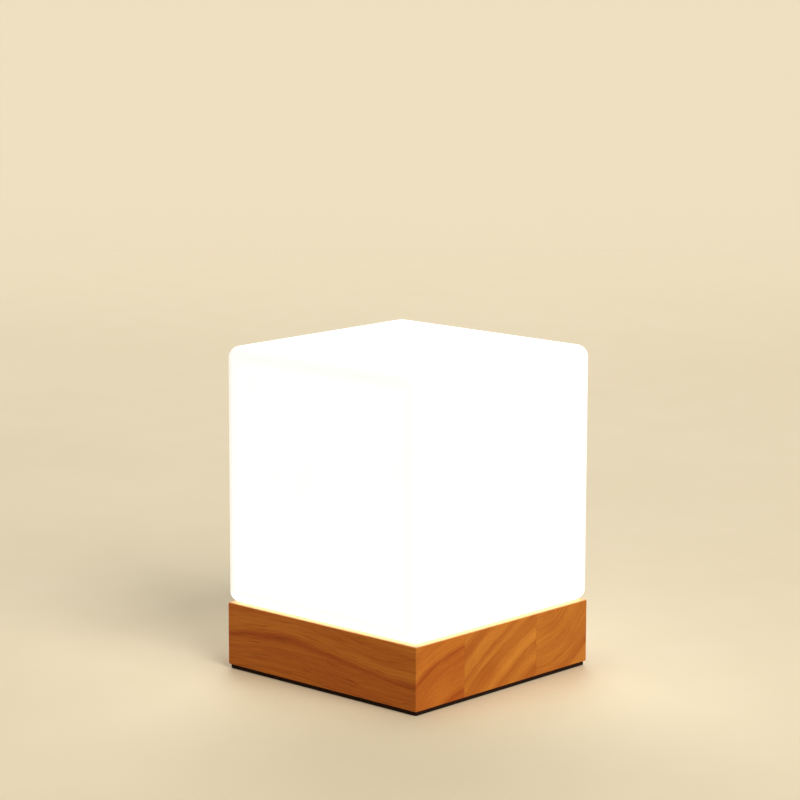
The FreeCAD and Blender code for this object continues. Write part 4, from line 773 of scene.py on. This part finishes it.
def model_foam_pad():
    """Foam sheet with rounded corners, soft edges and four holes that reach the cover screws."""
    low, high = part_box("anti_slip_pad")
    pad = start_block("foam_pad", low, high)
    round_edges(pad, lambda edge: abs(run(edge).z) > ALONG, PAD_CORNER_R, PAD_CORNER_STEPS)

    def level(edge):
        to_face = min(abs(middle(edge).z - z) for z in (low.z, high.z))
        return abs(run(edge).z) < SQUARE and to_face < NEAR

    round_edges(pad, level, PAD_EDGE_R, PAD_EDGE_STEPS)
    screw_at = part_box("cover_screws")[1].x - COVER_SCREW_HEAD_R
    for x in (-screw_at, screw_at):
        for y in (-screw_at, screw_at):
            deselect_all()
            bpy.ops.mesh.primitive_cylinder_add(vertices=PAD_HOLE_SIDES, radius=PAD_HOLE_R,
                                                depth=PUNCH_REACH * (high.z - low.z),
                                                location=(x, y, (low.z + high.z) / 2))
            punch = take("punch")
            apply_modifier(pad, "BOOLEAN", object=punch, operation="DIFFERENCE", solver="EXACT")
            bpy.data.objects.remove(punch)
    smooth(pad)
    dress(pad, "base", "black_foam", "anti_slip_pad")


def model_gasket():
    """Soft ring with round edges in its groove, a little proud of the wood."""
    low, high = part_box("shade_gasket")
    deselect_all()
    centre = (high.x - GASKET_WIDTH / 2, 0, (low.z + high.z) / 2)
    bpy.ops.mesh.primitive_plane_add(size=1, location=centre, rotation=(FULL_TURN / 4, 0, 0))
    bpy.context.object.scale = (GASKET_WIDTH, high.z - low.z, 1)
    ring = take("silicone_gasket")
    bpy.ops.object.mode_set(mode="EDIT")
    bpy.ops.mesh.select_all(action="SELECT")
    bpy.ops.mesh.bevel(offset=GASKET_EDGE_R, segments=GASKET_EDGE_STEPS, profile=ROUND_PROFILE,
                       affect="VERTICES")
    bpy.ops.mesh.select_all(action="SELECT")
    bpy.ops.mesh.delete(type="ONLY_FACE")
    bpy.ops.mesh.select_all(action="SELECT")
    bpy.ops.mesh.spin(steps=GASKET_STEPS, angle=FULL_TURN, center=(0, 0, 0), axis=(0, 0, 1))
    bpy.ops.mesh.select_all(action="SELECT")
    bpy.ops.mesh.remove_doubles(threshold=MERGE)
    bpy.ops.mesh.normals_make_consistent(inside=False)
    bpy.ops.object.mode_set(mode="OBJECT")
    smooth(ring)
    dress(ring, "base", "clear_silicone", "shade_gasket")


def model_cord_bush():
    """Rubber bush: a tube through the wall with a flange outside, a ridge inside and rounded lips."""
    low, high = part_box("cord_grommet")
    centre = (low + high) / 2
    flange_y = high.y - BUSH_FLANGE_T
    ridge_y = low.y + BUSH_RIDGE_T
    deselect_all()
    bpy.ops.mesh.primitive_cylinder_add(vertices=BUSH_SIDES, radius=BUSH_NECK_R, depth=high.y - low.y,
                                        location=centre, rotation=(FULL_TURN / 4, 0, 0))
    bush = take("cord_bush")
    pick(bush, "FACE", lambda face: abs(face.normal.y) > ALONG)
    bpy.ops.mesh.inset(thickness=BUSH_NECK_R - BUSH_BORE_R)
    bpy.ops.mesh.delete(type="FACE")
    pick(bush, "EDGE", lambda edge: edge.is_boundary)
    bpy.ops.mesh.bridge_edge_loops()
    for y in (flange_y, ridge_y):
        bpy.ops.mesh.select_all(action="SELECT")
        bpy.ops.mesh.bisect(plane_co=(0, y, 0), plane_no=(0, 1, 0))

    def outside(face):
        from_axis = from_y_axis(face.calc_center_median() - centre).length
        return abs(face.normal.y) < SQUARE and from_axis > (BUSH_BORE_R + BUSH_NECK_R) / 2

    def swell(test, growth):
        pick(bush, "FACE", lambda face: outside(face) and test(face.calc_center_median().y))
        bpy.ops.mesh.extrude_region_shrink_fatten(TRANSFORM_OT_shrink_fatten={"value": growth})

    swell(lambda y: y > flange_y, high.x - BUSH_NECK_R)
    swell(lambda y: y < ridge_y, BUSH_RIDGE_R - BUSH_NECK_R)
    bpy.ops.object.mode_set(mode="OBJECT")

    def on_face(edge, radius):
        offset = middle(edge) - centre
        in_face = abs(run(edge).y) < SQUARE and abs(middle(edge).y - high.y) < NEAR
        at_radius = abs(from_y_axis(offset).length - radius) < BUSH_LIP_R / 2
        return in_face and at_radius and abs(run(edge).dot(offset.normalized())) < SQUARE

    round_edges(bush, lambda edge: on_face(edge, high.x), BUSH_RIM_R, BUSH_RIM_STEPS)
    round_edges(bush, lambda edge: on_face(edge, BUSH_BORE_R), BUSH_LIP_R, BUSH_LIP_STEPS)
    smooth(bush)
    dress(bush, "base", "black_rubber", "cord_grommet")


def seat_mark(mark, side):
    """Lays a mark that was made flat at the origin, facing +Y, on one half of the rocker face."""
    switch_low, switch_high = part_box("switch_housing")
    pivot = (switch_low + switch_high) / 2
    pivot.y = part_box("wood_base")[1].y + ROCKER_PIVOT_OUT
    out = ROCKER_RISE + MARK_FROM_MIDDLE * math.tan(ROCKER_TILT)
    on_face = Matrix.Translation((side * MARK_FROM_MIDDLE, out, 0))
    face_turn = Matrix.Rotation(side * ROCKER_TILT, 4, "Z")
    rest_turn = Matrix.Rotation(ROCKER_TILT, 4, "Z")
    mark.matrix_world = Matrix.Translation(pivot) @ rest_turn @ on_face @ face_turn
    select_only(mark)
    bpy.ops.object.transform_apply(location=True, rotation=True, scale=True)
    smooth(mark)
    dress(mark, "rocker", "black_gloss", finish=MARK_PAINT)


def model_on_mark():
    """Printed bar on the end of the rocker that is pressed when the lamp is on."""
    half = Vector((BAR_LENGTH, 0, BAR_WIDTH)) / 2
    low = -half - Vector((0, MARK_SUNK, 0))
    high = half + Vector((0, MARK_PROUD, 0))
    bar = start_block("rocker_on_mark", low, high)
    round_edges(bar, lambda edge: abs(run(edge).y) > ALONG, BAR_WIDTH * BAR_ROUND_SHARE, BAR_ROUND_STEPS)
    seat_mark(bar, -1)


def model_off_mark():
    """Printed ring on the other end of the rocker."""
    deselect_all()
    bpy.ops.mesh.primitive_circle_add(vertices=RING_SIDES, radius=RING_R, fill_type="NGON",
                                      location=(0, -MARK_SUNK, 0), rotation=(-FULL_TURN / 4, 0, 0))
    ring = take("rocker_off_mark")
    pick(ring, "FACE", lambda face: True)
    bpy.ops.mesh.inset(thickness=RING_WIDTH)
    bpy.ops.mesh.delete(type="FACE")
    bpy.ops.mesh.select_all(action="SELECT")
    bpy.ops.mesh.extrude_region_move(TRANSFORM_OT_translate={"value": (0, MARK_SUNK + MARK_PROUD, 0)})
    bpy.ops.mesh.select_all(action="SELECT")
    bpy.ops.mesh.normals_make_consistent(inside=False)
    bpy.ops.object.mode_set(mode="OBJECT")
    seat_mark(ring, 1)


def paint_nodes():
    """Gives every carried-over piece the finish of its own material slot."""
    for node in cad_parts.values():
        for slot in node.material_slots:
            slot.material = FINISHES[slot.material.name.split(".")[0]]


# Studio

def make_floor():
    """Plain pale floor that takes the shadow of the lamp and fades into the backdrop."""
    deselect_all()
    bpy.ops.mesh.primitive_circle_add(vertices=FLOOR_SIDES, radius=FLOOR_RADIUS, fill_type="NGON")
    floor = take("pale_floor")
    finish = mottled_finish("pale_floor", *FLOOR_ROW)
    paint = Paint(finish.node_tree)
    reach = paint.vector("LENGTH", paint.place())
    fade = paint.fall(reach, FLOOR_FADE_FROM_MM, FLOOR_FADE_TO_MM)
    paint.feed(finish.node_tree.nodes["Principled BSDF"].inputs["Alpha"], fade)
    floor.data.materials.append(finish)


def make_area_light(name, place, size, power):
    """Soft square lamp that faces the object."""
    lamp = bpy.data.lights.new(name, "AREA")
    lamp.size = size
    lamp.energy = power
    holder = bpy.data.objects.new(name, lamp)
    holder.location = place
    holder.rotation_euler = (VIEW_CENTRE - place).to_track_quat("-Z", "Y").to_euler()
    bpy.context.scene.collection.objects.link(holder)


def make_sky():
    """Even light from all round, which the camera and gloss see as a pale backdrop."""
    world = bpy.data.worlds.new("studio")
    world.use_nodes = True
    bpy.context.scene.world = world
    paint = Paint(world.node_tree)
    paths = paint.add("ShaderNodeLightPath").outputs
    seen = paint.math("MAXIMUM", paths["Is Camera Ray"], paths["Is Glossy Ray"])
    seen = paint.math("MAXIMUM", seen, paths["Is Transmission Ray"])
    backdrop = world.node_tree.nodes["Background"]
    paint.feed(backdrop.inputs["Color"], paint.blend(seen, SKY_TINT, srgb(*BACKDROP)))
    paint.feed(backdrop.inputs["Strength"], paint.either(seen, SKY_STRENGTH, 1.0))


def make_camera():
    """Camera at the photographed view."""
    level_reach = math.cos(VIEW_ELEVATION)
    back = Vector((math.sin(VIEW_AZIMUTH) * level_reach, -math.cos(VIEW_AZIMUTH) * level_reach,
                   math.sin(VIEW_ELEVATION)))
    eye = bpy.data.cameras.new("camera")
    eye.lens = LENS_MM
    eye.sensor_width = SENSOR_MM
    camera = bpy.data.objects.new("camera", eye)
    camera.location = VIEW_CENTRE + back * VIEW_DISTANCE
    level = (VIEW_AIM - camera.location).to_track_quat("-Z", "Y").to_matrix()
    camera.rotation_euler = (level @ Matrix.Rotation(VIEW_ROLL, 3, "Z")).to_euler()
    bpy.context.scene.collection.objects.link(camera)
    bpy.context.scene.camera = camera


MOTTLE = make_mottle()
LATHE = make_lathe()
GLOW = make_glow()
FINISHES = make_finishes()
MARK_PAINT = mottled_finish("mark_white", *MARK_ROW)

paint_nodes()
model_foam_pad()
model_gasket()
model_cord_bush()
model_on_mark()
model_off_mark()

make_floor()
make_area_light("key_light", KEY_PLACE, KEY_SIZE, KEY_POWER)
make_area_light("fill_light", FILL_PLACE, FILL_SIZE, FILL_POWER)
make_sky()
make_camera()
bpy.context.scene.view_settings.view_transform = "Standard"
